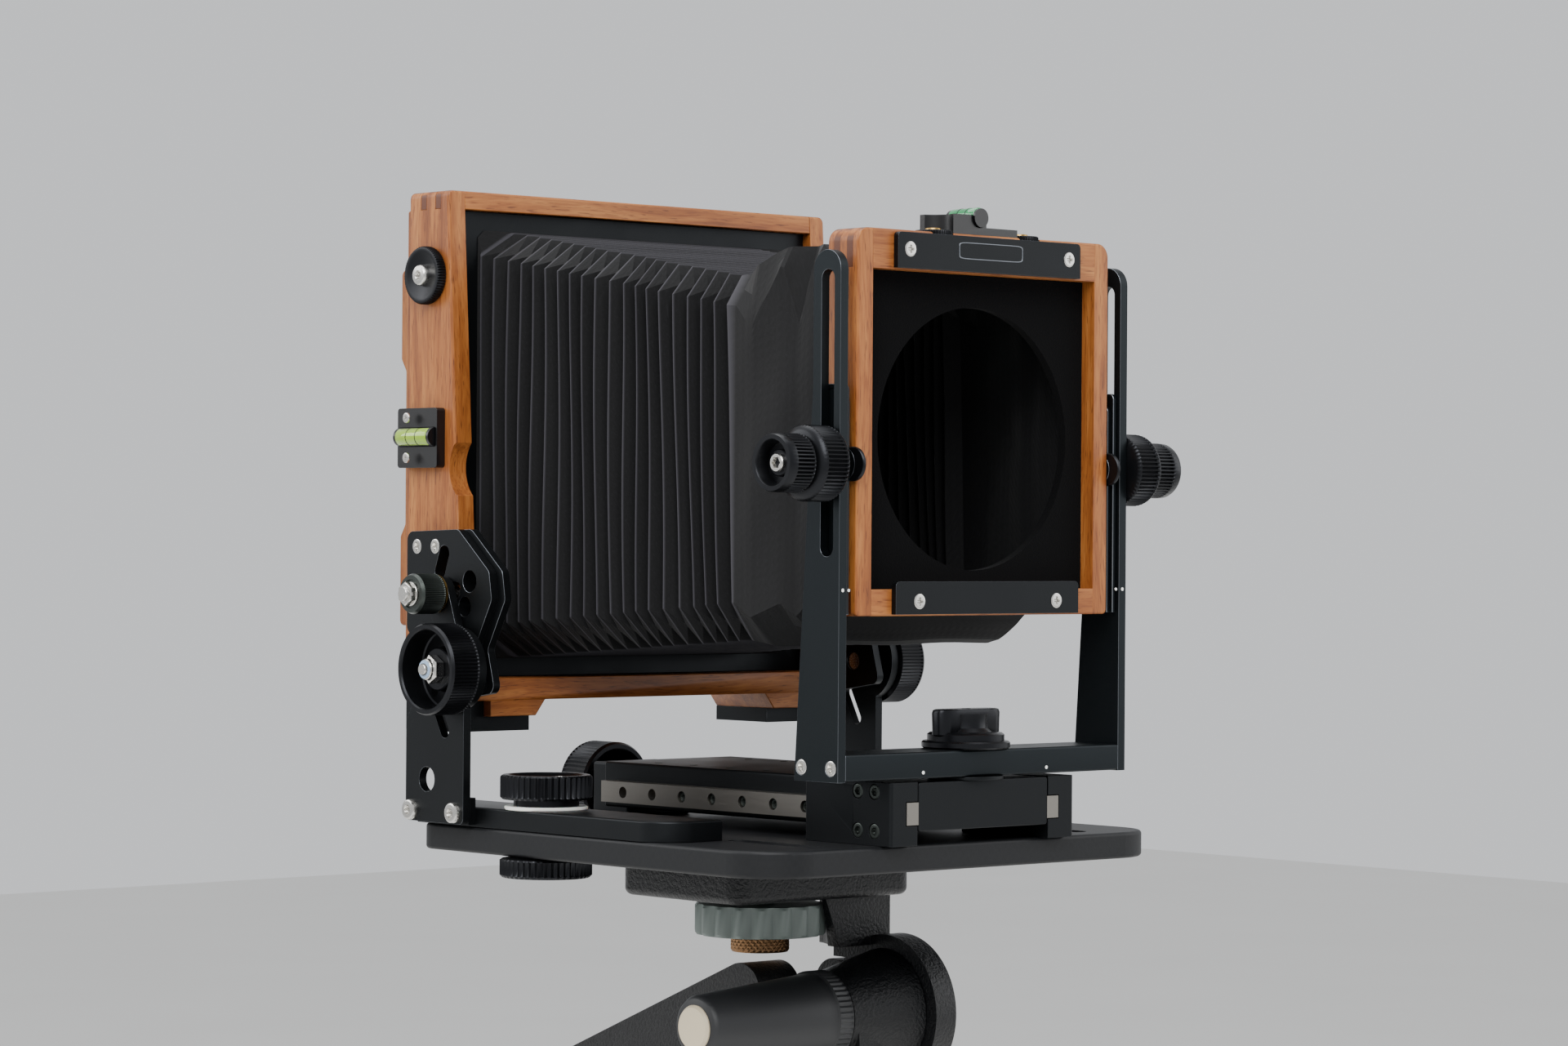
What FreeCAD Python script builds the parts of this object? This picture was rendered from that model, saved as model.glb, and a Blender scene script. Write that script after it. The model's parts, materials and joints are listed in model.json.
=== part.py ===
import FreeCAD, Part

import math
import os

# Wooden folding view camera on a pan and tilt tripod head, in millimetres.
# Working frame: +Z up, -Y towards the lens end, X = 0 on the camera's centre plane,
# Z = 0 on the top face of the camera bed and Y = 0 on the front face of the front frame.
# The last step moves everything so that the origin is under the middle of the whole object.

# --- clearances ---
RUN = 0.06        # radial clearance of a shaft in its bore
GAP = 0.3         # gap between pieces that move past each other
SLIP = 0.1        # gap between flat faces that slide on each other
SCREW_HEAD_R = 2.4

# --- rear standard's width, and what spans it ---
BACK_HALF = 83.8
SIDE_T = 2.8
OUTER_PLATE_X = (BACK_HALF + 2 * SIDE_T + 0.6, BACK_HALF + 2 * SIDE_T + 3.6)

# --- bed plate ---
BED_HALF = OUTER_PLATE_X[0] - 2.8
BED_FRONT = 3.5
BED_BACK = 178.2
BED_T = 8.5
BED_FRONT_R = 19.0
BED_BACK_R = 8.0
BED_EDGE = 1.2
SLOT_X = BED_HALF - 29.2
SLOT_Y = (16.0, 50.0)
SLOT_R = 3.4

# --- rear base bars and clamps ---
BAR_X = (BED_HALF - 24.2, BED_HALF - 0.2)
BAR_Y = (52.0, 178.0)
BAR_T = 6.6
BAR_CORNER = 12.0
BAR_EDGE = 0.8
CLAMP_X = sum(BAR_X) / 2
CLAMP_Y = 125.0
CLAMP_R = 15.0
CLAMP_T = 8.5
CLAMP_NECK = (11.0, 1.4)      # radius and height under the upper knob
CLAMP_LOW_T = 6.5
CLAMP_LOW_GAP = 0.4
STUD_R = 3.0
WASHER_R = 13.5
WASHER_T = 1.2
BASE_TRAVEL = (-15.0, 18.0)

# --- linear guides and focusing beam ---
BEAM_HALF = 28.2
BEAM_Y = (-0.3, 152.0)
BEAM_Z = (4.4, 19.5)
RAIL_W = 5.0
RAIL_H = 7.0
RAIL_Z = 9.9
RAIL_END = 148.0
RAIL_PITCH = 15.0
RAIL_HOLE_R = 1.9
BLOCK_X = (BEAM_HALF + 0.4, BEAM_HALF + 12.0)
BLOCK_LEN = 39.0
BLOCK_H = 19.7
GUIDE_SCREW_Y = (7.0, 14.5)
GUIDE_SCREW_Z = (4.5, 16.7)
GUIDE_SCREW_X = (BLOCK_X[1] - 2.0, BLOCK_X[1])
FOCUS_TRAVEL = 100.0

# --- lead screw and focusing wheel ---
SCREW_R = 3.0
SCREW_Z = 9.0
SCREW_GRIP = 10.0     # thread left in the beam at full extension
BEARING_Y = (157.0, 176.0)
BEARING_HALF = 14.0
BEARING_H = 18.0
WHEEL_R = 15.0
WHEEL_Y = (BED_BACK + 1.3, BED_BACK + 15.4)
WHEEL_CUP = 11.0
WHEEL_WALL = 2.2
WHEEL_HUB_R = 5.0

# --- front standard ---
FRAME_HALF = 55.0
FRAME_H = 119.0
FRAME_D = 13.6
FRAME_Z = 71.0
FRAME_TOP = FRAME_Z + FRAME_H
FRAME_EDGE = 0.7
OPEN_HALF = FRAME_HALF - 6.4
BOTTOM_RAIL = 8.2
TOP_HEIGHT = 12.3
OPEN_LOW = FRAME_Z + BOTTOM_RAIL
OPEN_H = FRAME_H - BOTTOM_RAIL - TOP_HEIGHT
FRAME_CORNER = 4.5
FINGERS = ((2.2, 5.0), (8.0, 10.8))
BOARD_Y = (5.5, 8.5)
LENS_R = OPEN_HALF - 7.35
LENS_DROP = 2.2
AXIS_Y = 4.7
AXIS_Z = FRAME_Z + 46.5
BOLT_R = 2.6
BOLT_X = (FRAME_HALF - 5.0, FRAME_HALF + 27.0)
FACE_PLATE_HALF = FRAME_HALF - 15.0
FACE_PLATE_T = 2.0
FACE_SCREWS = ((FACE_PLATE_HALF - 5.2, FRAME_TOP - 6.0), (FACE_PLATE_HALF - 10.0, FRAME_Z + 4.5))
LOCK_X = 19.0
LOCK_Y = 4.5
LOCK_R = 6.0
LOCK_T = 2.8

# --- sliding plates and knobs of the front standard ---
LAYERS = (FRAME_HALF + 4.4, FRAME_HALF + 2.9, FRAME_HALF + 1.5, FRAME_HALF + 0.1)
PLATE_Z = (FRAME_Z + 0.5, AXIS_Z + 24.5)
PLATE_Y = (0.2, 12.6)
PLATE_STEP = (1.2, 4.0)       # the inner layer is set back from the outer one's front and top
WASHER_DISC_R = 5.5

# --- front bracket ---
BRACKET_HALF = LAYERS[0] + 3.5
UPRIGHT_T = 3.2
UPRIGHT_Y = (-1.0, 11.3)
UPRIGHT_FOOT_Y = 18.8
UPRIGHT_Z = (20.5, FRAME_TOP - 7.2)
TAPER_Z = AXIS_Z + 22.5
CROSSBAR_Z = (20.7, 29.0)
CROSSBAR_EDGE = 0.8
RISE_SLOT_R = 2.9
RISE_SLOT_Z = (AXIS_Z - 28.3, UPRIGHT_Z[1] - 6.0)
BRACKET_SCREW_Y = (2.3, 15.6)
BRACKET_SCREW_Z = 24.7
RISE_KNOB_R = 11.65
RISE_KNOB_X = (BRACKET_HALF + GAP, BRACKET_HALF + 11.7)
TILT_KNOB_R = 9.0
TILT_KNOB_X = (RISE_KNOB_X[1] + 0.4, RISE_KNOB_X[1] + 11.1)
TILT_CUP = (6.5, 3.0)         # radius and depth
TILT_SOCKET_R = 3.4
KNOB_EDGE = 0.7

# --- swing pivot and its wing knob ---
SWING_Y = 8.0
SWING_WASHER_R = 12.0
SWING_STUD_RISE = 7.0
WING_BASE = (14.0, 2.4)       # radius and height of the lower flange
WING_STEP = (12.2, 5.0)
WING_NECK_R = 7.0
WING_TOP_Z = 41.5
WING_HALF = 13.5
WING_THICK = 7.6
WING_H = 8.0

# --- rear standard ---
BACK_TOP = 208.9
BACK_LOW = 40.5
BACK_FOOT = 35.2
BACK_FRONT = (168.0, 158.0)    # front face at the top and at the foot
BACK_REAR = 189.0
STILE_W = 6.8
TOP_RAIL = 6.1
LOW_RAIL = 7.3
FOOT_X = (BACK_HALF - 30.8, BACK_HALF - 11.8)
BACK_FINGERS = ((171.6, 174.9), (179.4, 182.7))
BACK_CORNER = 2.2
BACK_EDGE = 0.9
NOTCH_Z = 117.2
NOTCH_DEPTH = 3.5
NOTCH_CHORD = 17.5
SHOE_T = 5.0
SHOE_FRONT = 162.0
GATE_HALF = BACK_HALF - 17.8
GATE_Z = (BACK_LOW + 17.5, BACK_TOP - 16.9)
GATE_T = 2.6

# --- rear tilt: places are (y, z) ---
PIVOT = (151.0, 51.5)
LOCK = (PIVOT[0] + 9.0, PIVOT[1] + 24.3)
REAR_TILT = 10.0
PIVOT_KNOB_R = 14.9
PIVOT_KNOB_T = 11.5
PIVOT_WEB = 3.0
PIVOT_RIM = 1.8
PIVOT_HOLES = (5, 8.8, 1.7)    # number, distance from the pivot and radius
LOCK_KNOB_R = 6.6
LOCK_KNOB_T = 10.7
LOCK_BOLT_R = 2.5
NUT_ACROSS = (8.0, 7.0)        # pivot nut and lock nut
BUTTON = (3.4, 1.9)            # radius and height of a button head

# --- plates of the rear tilt: offsets (y, z) from the pivot ---
OUTER_Y = (PIVOT[0] - 5.3, PIVOT[0] + 25.6)
OUTER_LOW = 1.1
OUTER_ROUND = 13.5
LOCK_ROUND = 5.6
OUTER_HOLE = ((14.2, -36.5), 4.15)
HOOK_SLOT = ((4.7, -20.5), (9.5, -11.5), 2.2)
BASE_SCREWS = ((OUTER_Y[0] + 4.8, 4.7), (OUTER_Y[1] - 3.1, 4.7))
BRACKET_OUTLINE = ((30.5, 44.6), (3.0, 45.4), (-13.5, 31.8), (-15.0, 22.6),
                   (-6.0, 6.5), (-10.0, -7.5), (7.0, -10.5), (30.5, 12.5))
BRACKET_STEP = 3.5             # the inner layer reaches this much further forwards
BRACKET_CORNER = 3.0
BRACKET_SLOT = ((10.4, 37.5), (12.6, 31.5), 2.7)
BRACKET_HOLES = (((-3.3, 28.5), 3.6), ((-0.8, 20.2), 3.3))
BRACKET_SCREWS = ((25.1, 39.7), (15.3, 39.8))

# --- film back ---
HOLDER_HALF = BACK_HALF - 4.8
HOLDER_Z = (BACK_LOW + 4.5, BACK_TOP - 5.3)
HOLDER_T = 7.5
HOLDER_W = 15.0
GLASS_FRAME_HALF = HOLDER_HALF - 2.0
GLASS_FRAME_Z = (HOLDER_Z[0] + 19.5, HOLDER_Z[1] - 19.6)
GLASS_FRAME_T = (3.0, 5.6)
GLASS_HALF = GLASS_FRAME_HALF - 16.0
GLASS_Z = (GLASS_FRAME_Z[0] + 9.5, GLASS_FRAME_Z[1] - 10.0)
GLASS_T = 2.0
LUG_H = 30.0
LUG_RAMP = 4.0
SPRING_HALF = GLASS_FRAME_HALF - 7.0
SPRING_T = 1.0
SPRING_W = 6.0
TAB_HALF = 9.0
TAB_T = 0.8

# --- bellows: y, half width, bottom and top of each section ---
BELLOWS_REAR_Y = 171.0
BELLOWS = ((BELLOWS_REAR_Y, GATE_HALF + 3.0, GATE_Z[0] - 4.0, GATE_Z[1] + 4.5),
           (60.0, OPEN_HALF + 3.4, FRAME_Z - 9.0, FRAME_TOP - 11.6),
           (39.0, OPEN_HALF + 1.9, FRAME_Z - 8.0, FRAME_TOP - 4.5),
           (26.0, OPEN_HALF + 0.4, FRAME_Z - 1.0, FRAME_TOP - 3.0),
           (FRAME_D + 0.3, OPEN_HALF - 0.6, OPEN_LOW + 0.7, OPEN_LOW + OPEN_H - 0.7),
           (BOARD_Y[1] + 0.3, OPEN_HALF - 1.0, OPEN_LOW + 1.2, OPEN_LOW + OPEN_H - 1.1))
BELLOWS_WALL = 1.0

# --- levels and back lock ---
LEVEL_Y = (168.7, 190.2)
LEVEL_Z = (BACK_TOP - 91.7, BACK_TOP - 71.9)
LEVEL_T = 3.4
VIAL_R = 3.2
BACK_LOCK = (177.7, BACK_TOP - 28.0)
BACK_LOCK_R = 9.65
BACK_LOCK_T = 3.6
BACK_LOCK_HEAD = (3.6, 1.8)    # radius and height
TOP_LEVEL_X = (-17.0, 1.0, 17.0)     # left end, step and right end
TOP_LEVEL_Z = (2.4, 6.2)       # heights of the low and the raised part
TOP_VIAL = (-2.5, 5.4)         # x, and height over the frame

# --- tripod head ---
BLOCK_UNDER = (38.0, 46.0, 140.0, 4.5)    # half width, front, back, thickness
HEAD_HALF = 39.0
HEAD_Y = (72.0, 132.0)
HEAD_T = 10.2
HEAD_CORNER = 6.0
HEAD_EDGE = 2.5
MOUNT_Y = 105.0
MOUNT_WHEEL_R = 22.0
MOUNT_WHEEL_Z = (-13.5, -2.8)  # from the plate's underside
MOUNT_STUD = (9.8, 5.5)        # radius and length
MOUNT_SCREW_R = 5.0
TILT_Y = 75.0
TILT_Z = -BED_T - 52.7
SHAFT_R = 7.9
SHAFT_GRIP = 20.0              # how far the shaft reaches into the grip
FLANGE_X = (28.5, 37.5)
FLANGE_R = 25.0
WEB_Y = (TILT_Y + 7.0, TILT_Y + 25.0)
WEB_RISE = 21.0
BARREL_X = (2.0, 28.2)
BARREL_R = (14.5, 20.5)
GRIP_X = (-54.0, -5.0, 1.7)
GRIP_R = (8.5, 14.6, 15.0)
GRIP_CAP = (6.5, 2.0)          # radius and height
ARM_ROOT = (TILT_Y + 25.0, TILT_Z + 6.2)
ARM_DROP = 21.4
ARM_LEN = 170.0
ARM_X = (-13.0, 5.0)
ARM_H = (20.0, 13.0)
ARM_WALL = 3.0
ARM_PIN_R = 4.4
HANDLE_R = 12.0
HANDLE_LEN = 90.0
HANDLE_OVERLAP = 40.0          # stretch of the arm inside the handle
HANDLE_EDGE = 4.0

# --- column, crown and legs ---
COLUMN_Y = 95.0
PAN_R = 30.0
PAN_Z = (TILT_Z - 56.8, TILT_Z - 42.8)
NECK_HALF = (30.0, 14.0)       # half depth of the neck at the foot and at the shaft
SPIGOT = (6.0, 10.0)           # radius and height of the column's top pin
COLUMN_R = 14.0
COLUMN_WALL = 2.5
COLUMN_Z = (-330.0, PAN_Z[0] - 0.2)
COLUMN_CAP = (26.0, 5.8)       # radius and height
COLLAR_R = COLUMN_R + 10.0
CROWN_Z = (-178.0, -124.5)
HINGE_R = COLLAR_R + 16.0
HINGE_Z = -160.0
PIN_R = 4.0
LUG_R = 12.0
LUG_T = 6.0
TONGUE_T = 14.0
LEG_ANGLES = {"front": -90.0, "right": 30.0, "left": 150.0}
LEG_SPREAD = 24.0
LEG_REACH = 478.0
UPPER_R = 13.0
UPPER_START = 34.0
UPPER_END = LEG_REACH - 58.0
LOWER_R = 10.0
LOWER_START = LEG_REACH - 318.0
UPPER_WALL = 1.8
LOWER_WALL = 3.4
COLLAR_LEN = 38.0
COLLAR_WALL = 3.5
COLLAR_OVERHANG = 12.0
FOOT_R = 12.0
FOOT_LEN = (12.0, 32.0)        # below and above the end of the leg's reach
COLUMN_KNOB_R = 13.0
COLUMN_KNOB_Z = -142.0
BOSS_R = 8.0
BOSS_END = COLLAR_R + 9.0
COLUMN_KNOB_END = BOSS_END + 17.0

X_AXIS = FreeCAD.Vector(1, 0, 0)
Y_AXIS = FreeCAD.Vector(0, 1, 0)
Z_AXIS = FreeCAD.Vector(0, 0, 1)
ORIGIN = FreeCAD.Vector(0, 0, 0)


def box(x, y, z):
    """A block between two limits on each axis."""
    low = FreeCAD.Vector(min(x), min(y), min(z))
    size = [abs(v[1] - v[0]) for v in (x, y, z)]
    return Part.makeBox(size[0], size[1], size[2], low)


def rod(axis, at, span, radius):
    """A cylinder along X, Y or Z; at gives its two other coordinates in order."""
    low, high = min(span), max(span)
    place = {"x": (low, at[0], at[1]), "y": (at[0], low, at[1]), "z": (at[0], at[1], low)}[axis]
    way = {"x": X_AXIS, "y": Y_AXIS, "z": Z_AXIS}[axis]
    return Part.makeCylinder(radius, high - low, FreeCAD.Vector(*place), way)


def cone(at, span, radii):
    """A cone along X between two radii."""
    foot = FreeCAD.Vector(span[0], at[0], at[1])
    return Part.makeCone(radii[0], radii[1], span[1] - span[0], foot, X_AXIS)


def prism_x(outline, x):
    """An outline of (y, z) points, extruded along X."""
    corners = [FreeCAD.Vector(min(x), p[0], p[1]) for p in outline]
    face = Part.Face(Part.makePolygon(corners + corners[:1]))
    return face.extrude(X_AXIS * abs(x[1] - x[0]))


def prism_y(outline, y):
    """An outline of (x, z) points, extruded along Y."""
    corners = [FreeCAD.Vector(p[0], min(y), p[1]) for p in outline]
    face = Part.Face(Part.makePolygon(corners + corners[:1]))
    return face.extrude(Y_AXIS * abs(y[1] - y[0]))


def slot_x(start, end, radius, x):
    """A round-ended slot through X between two (y, z) points."""
    a, b = FreeCAD.Vector(0, *start), FreeCAD.Vector(0, *end)
    side = X_AXIS.cross(b.sub(a).normalize()) * radius
    corners = [(p.y, p.z) for p in (a.add(side), b.add(side), b.sub(side), a.sub(side))]
    ends = [rod("x", p, x, radius) for p in (start, end)]
    return prism_x(corners, x).multiFuse(ends).removeSplitter()


def slot_z(x, y, radius, z):
    """A round-ended slot through Z, running along Y."""
    ends = [rod("z", (x, v), z, radius) for v in y]
    return box((x - radius, x + radius), y, z).multiFuse(ends).removeSplitter()


def edges_along(shape, axis, test=None):
    """The straight edges of a shape that run along an axis and pass a test on their middle."""
    found = []
    for edge in shape.Edges:
        if len(edge.Vertexes) == 2 and isinstance(edge.Curve, Part.Line):
            way = edge.Vertexes[1].Point.sub(edge.Vertexes[0].Point).normalize()
            if abs(abs(way.dot(axis)) - 1) < 1e-6 and (test is None or test(edge.CenterOfMass)):
                found.append(edge)
    return found


def rounded(shape, axis, radius, test=None):
    """A shape with some of its edges along an axis rounded."""
    return shape.makeFillet(radius, edges_along(shape, axis, test))


def softened(shape, radius):
    """A block with all its edges rounded."""
    return shape.makeFillet(radius, shape.Edges)


def rim(shape, axis, height, radius):
    """A shape with every edge that lies on one plane rounded."""
    flat = [e for e in shape.Edges if getattr(e.BoundBox, axis + "Length") < 1e-6]
    on_plane = [e for e in flat if abs(getattr(e.CenterOfMass, axis.lower()) - height) < 1e-6]
    return shape.makeFillet(radius, on_plane)


def mirrored(shape):
    """The same piece on the other side of the camera."""
    return shape.mirror(ORIGIN, X_AXIS)


def pair(shape):
    """Both the left and the right one of a piece."""
    return [shape, mirrored(shape)]


def both(shapes):
    """The left and right ones of several pieces."""
    return [side for shape in shapes for side in pair(shape)]


# ---------------------------------------------------------------- bed and guides

def bed():
    plate = box((-BED_HALF, BED_HALF), (BED_FRONT, BED_BACK), (-BED_T, 0))
    plate = rounded(plate, Z_AXIS, BED_FRONT_R, lambda p: p.y < BED_FRONT + 1)
    plate = rounded(plate, Z_AXIS, BED_BACK_R, lambda p: p.y > BED_BACK - 1)
    for height in (-BED_T, 0):
        plate = rim(plate, "Z", height, BED_EDGE)
    clamp_slot = [CLAMP_Y + BASE_TRAVEL[0], CLAMP_Y + BASE_TRAVEL[1]]
    through = (-BED_T - 1, 1)
    for side in (-1, 1):
        plate = plate.cut(slot_z(side * SLOT_X, SLOT_Y, SLOT_R, through))
        plate = plate.cut(slot_z(side * CLAMP_X, clamp_slot, SLOT_R, through))
    return [plate]


def guide_blocks():
    """Two blocks that carry the steel rails, and the lead screw's bearing at the back."""
    block = box(BLOCK_X, (BEAM_Y[0], BLOCK_LEN), (0, BLOCK_H))
    block = rounded(block, Z_AXIS, 1.2, lambda p: p.x > BLOCK_X[1] - 1)
    rail = rail_bar(GAP)
    block = block.cut(rail)
    for y in GUIDE_SCREW_Y:
        for z in GUIDE_SCREW_Z:
            block = block.cut(rod("x", (y, z), GUIDE_SCREW_X, SCREW_HEAD_R))
    bearing = softened(box((-BEARING_HALF, BEARING_HALF), BEARING_Y, (0, BEARING_H)), 1.0)
    bearing = bearing.cut(rod("y", (0, SCREW_Z), BEARING_Y, SCREW_R + RUN))
    return pair(block) + [bearing]


def guide_screws():
    heads = []
    for y in GUIDE_SCREW_Y:
        for z in GUIDE_SCREW_Z:
            heads.append(rod("x", (y, z), GUIDE_SCREW_X, SCREW_HEAD_R))
    return both(heads)


def rail_bar(extra=0.0):
    """One guide rail, or the channel for it when extra room is given."""
    z = (RAIL_Z - RAIL_H / 2 - extra, RAIL_Z + RAIL_H / 2 + extra)
    x = (BEAM_HALF, BEAM_HALF + RAIL_W + extra)
    return box(x, (BEAM_Y[0] - 10 * extra, RAIL_END + 10 * extra), z)


# ---------------------------------------------------------------- focusing beam

def focus_beam():
    beam = box((-BEAM_HALF, BEAM_HALF), BEAM_Y, BEAM_Z)
    beam = rounded(beam, Y_AXIS, 1.0)
    thread_start = BEAM_Y[1] - FOCUS_TRAVEL - SCREW_GRIP - 2
    beam = beam.cut(rod("y", (0, SCREW_Z), (thread_start, BEAM_Y[1] + 1), SCREW_R + GAP))
    washer = rod("z", (0, SWING_Y), (BEAM_Z[1], CROSSBAR_Z[0] - SLIP), SWING_WASHER_R)
    stud = rod("z", (0, SWING_Y), (BEAM_Z[1], CROSSBAR_Z[1] + SWING_STUD_RISE), STUD_R)
    return [beam, washer.fuse(stud)]


def steel_rails():
    rail = rail_bar()
    holes = int((RAIL_END - BEAM_Y[0]) // RAIL_PITCH)
    for i in range(holes):
        y = RAIL_END - RAIL_PITCH * (i + 0.75)
        rail = rail.cut(rod("x", (y, RAIL_Z), (BEAM_HALF + 1.5, BEAM_HALF + RAIL_W), RAIL_HOLE_R))
    return pair(rail)


def focus_wheel():
    """The lead screw and the cupped wheel on its rear end."""
    start = BEAM_Y[1] - FOCUS_TRAVEL - SCREW_GRIP
    screw = rod("y", (0, SCREW_Z), (start, WHEEL_Y[1] - 1), SCREW_R)
    wheel = rod("y", (0, SCREW_Z), WHEEL_Y, WHEEL_R)
    wheel = rim(wheel, "Y", WHEEL_Y[1], KNOB_EDGE)
    cup = rod("y", (0, SCREW_Z), (WHEEL_Y[0], WHEEL_Y[0] + WHEEL_CUP), WHEEL_R - WHEEL_WALL)
    hub = rod("y", (0, SCREW_Z), (WHEEL_Y[0] + 1, WHEEL_Y[0] + WHEEL_CUP), WHEEL_HUB_R)
    wheel = wheel.cut(cup.cut(hub)).cut(rod("y", (0, SCREW_Z), (WHEEL_Y[0], WHEEL_Y[1] - 1), SCREW_R))
    return [wheel, screw]


# ---------------------------------------------------------------- front bracket

def front_uprights():
    x = (BRACKET_HALF - UPRIGHT_T, BRACKET_HALF)
    crown_r = (UPRIGHT_Y[1] - UPRIGHT_Y[0]) / 2
    middle = (UPRIGHT_Y[1] + UPRIGHT_Y[0]) / 2
    shoulder = UPRIGHT_Z[1] - crown_r
    outline = [(UPRIGHT_Y[0], UPRIGHT_Z[0]), (UPRIGHT_FOOT_Y, UPRIGHT_Z[0]),
               (UPRIGHT_Y[1], TAPER_Z), (UPRIGHT_Y[1], shoulder), (UPRIGHT_Y[0], shoulder)]
    upright = prism_x(outline, x).fuse(rod("x", (middle, shoulder), x, crown_r)).removeSplitter()
    ends = [(AXIS_Y, RISE_SLOT_Z[0] + RISE_SLOT_R), (AXIS_Y, RISE_SLOT_Z[1] - RISE_SLOT_R)]
    upright = upright.cut(slot_x(ends[0], ends[1], RISE_SLOT_R, x))
    for y in BRACKET_SCREW_Y:
        upright = upright.cut(rod("x", (y, BRACKET_SCREW_Z), x, SCREW_HEAD_R))
    return pair(upright)


def front_crossbar():
    half = BRACKET_HALF - UPRIGHT_T
    bar = box((-half, half), (UPRIGHT_Y[0], UPRIGHT_FOOT_Y), CROSSBAR_Z)
    bar = rounded(bar, X_AXIS, CROSSBAR_EDGE)
    return [bar.cut(rod("z", (0, SWING_Y), CROSSBAR_Z, STUD_R + RUN))]


def bracket_screws():
    x = (BRACKET_HALF - UPRIGHT_T, BRACKET_HALF)
    return both([rod("x", (y, BRACKET_SCREW_Z), x, SCREW_HEAD_R) for y in BRACKET_SCREW_Y])


def wing_knob():
    """Two flanges, a neck and a thick cross wing."""
    at = (0, SWING_Y)
    foot = CROSSBAR_Z[1] + SLIP
    body = rod("z", at, (foot, foot + WING_BASE[1]), WING_BASE[0])
    body = body.fuse(rod("z", at, (foot, foot + WING_STEP[1]), WING_STEP[0]))
    body = body.fuse(rod("z", at, (foot, WING_TOP_Z - 1), WING_NECK_R))
    y = (SWING_Y - WING_THICK / 2, SWING_Y + WING_THICK / 2)
    wing = softened(box((-WING_HALF, WING_HALF), y, (WING_TOP_Z - WING_H, WING_TOP_Z)), 1.2)
    body = body.fuse(wing).removeSplitter()
    stud_room = (foot, CROSSBAR_Z[1] + SWING_STUD_RISE + GAP)
    return [body.cut(rod("z", at, stud_room, STUD_R + RUN))]


def rise_plates():
    """Sliding plates inside the uprights, with the bolts that the front frame tilts on."""
    parts = []
    for i in range(2):
        z = (PLATE_Z[0], PLATE_Z[1] - PLATE_STEP[1] * i)
        y = (PLATE_Y[0] + PLATE_STEP[0] * i, PLATE_Y[1])
        layer = box((LAYERS[i + 1], LAYERS[i]), y, z)
        parts.append(rounded(layer, X_AXIS, 2.0, lambda p: p.z > AXIS_Z))
    parts.append(rod("x", (AXIS_Y, AXIS_Z), (LAYERS[3], LAYERS[2]), WASHER_DISC_R))
    bolt = rod("x", (AXIS_Y, AXIS_Z), BOLT_X, BOLT_R)
    parts = [p.cut(bolt) for p in parts] + [bolt]
    return both(parts)


def rise_knob():
    knob = knob_blank((AXIS_Y, AXIS_Z), RISE_KNOB_X, RISE_KNOB_R, KNOB_EDGE)
    return [knob.cut(rod("x", (AXIS_Y, AXIS_Z), RISE_KNOB_X, BOLT_R + RUN))]


def tilt_knob():
    """The outer knob, and the socket screw in its cup."""
    at = (AXIS_Y, AXIS_Z)
    outer = TILT_KNOB_X[1]
    floor = outer - TILT_CUP[1]
    knob = knob_blank(at, TILT_KNOB_X, TILT_KNOB_R, KNOB_EDGE)
    knob = knob.cut(rod("x", at, (floor, outer), TILT_CUP[0]))
    knob = knob.cut(rod("x", at, (TILT_KNOB_X[0], floor), BOLT_R + RUN))
    return [knob, rod("x", at, (floor, outer - 0.8), TILT_SOCKET_R)]


# ---------------------------------------------------------------- front standard

def front_ring():
    """The front wooden frame as one ring, before it is split at its finger joints."""
    ring = box((-FRAME_HALF, FRAME_HALF), (0, FRAME_D), (FRAME_Z, FRAME_TOP))
    ring = rounded(ring, Y_AXIS, FRAME_CORNER, lambda p: p.z > AXIS_Z)
    ring = rounded(ring, Y_AXIS, 1.5, lambda p: p.z < AXIS_Z)
    for y in (0, FRAME_D):
        ring = rim(ring, "Y", y, FRAME_EDGE)
    ring = ring.cut(box((-OPEN_HALF, OPEN_HALF), (-1, FRAME_D + 1), (OPEN_LOW, OPEN_LOW + OPEN_H)))
    for side in (-1, 1):
        pocket = (side * (BOLT_X[0] - 0.2), side * FRAME_HALF)
        ring = ring.cut(rod("x", (AXIS_Y, AXIS_Z), pocket, BOLT_R + RUN))
        ring = ring.cut(lock_pocket(side))
    return ring


def lock_pocket(side):
    """The room for one board lock wheel in the top of the front frame, and above it."""
    return rod("z", (side * LOCK_X, LOCK_Y), (FRAME_TOP - 2.4, FRAME_TOP + 8), LOCK_R + GAP)


def front_rail_zones():
    """Where the rails are: between the stiles, and along the fingers through them."""
    zones = []
    for z in ((FRAME_Z, OPEN_LOW), (OPEN_LOW + OPEN_H, FRAME_TOP)):
        zones.append(box((-OPEN_HALF, OPEN_HALF), (0, FRAME_D), z))
        for y in FINGERS:
            zones.append(box((-FRAME_HALF, FRAME_HALF), y, z))
    return zones[0].multiFuse(zones[1:])


def front_rails():
    return front_ring().common(front_rail_zones()).Solids


def front_stiles():
    return front_ring().cut(front_rail_zones()).Solids


def lens_board():
    """The black board behind the lens panel's seat, with its round hole."""
    board = box((-OPEN_HALF, OPEN_HALF), BOARD_Y, (OPEN_LOW, OPEN_LOW + OPEN_H))
    return [board.cut(rod("y", (0, OPEN_LOW + OPEN_H / 2 - LENS_DROP), BOARD_Y, LENS_R))]


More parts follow.
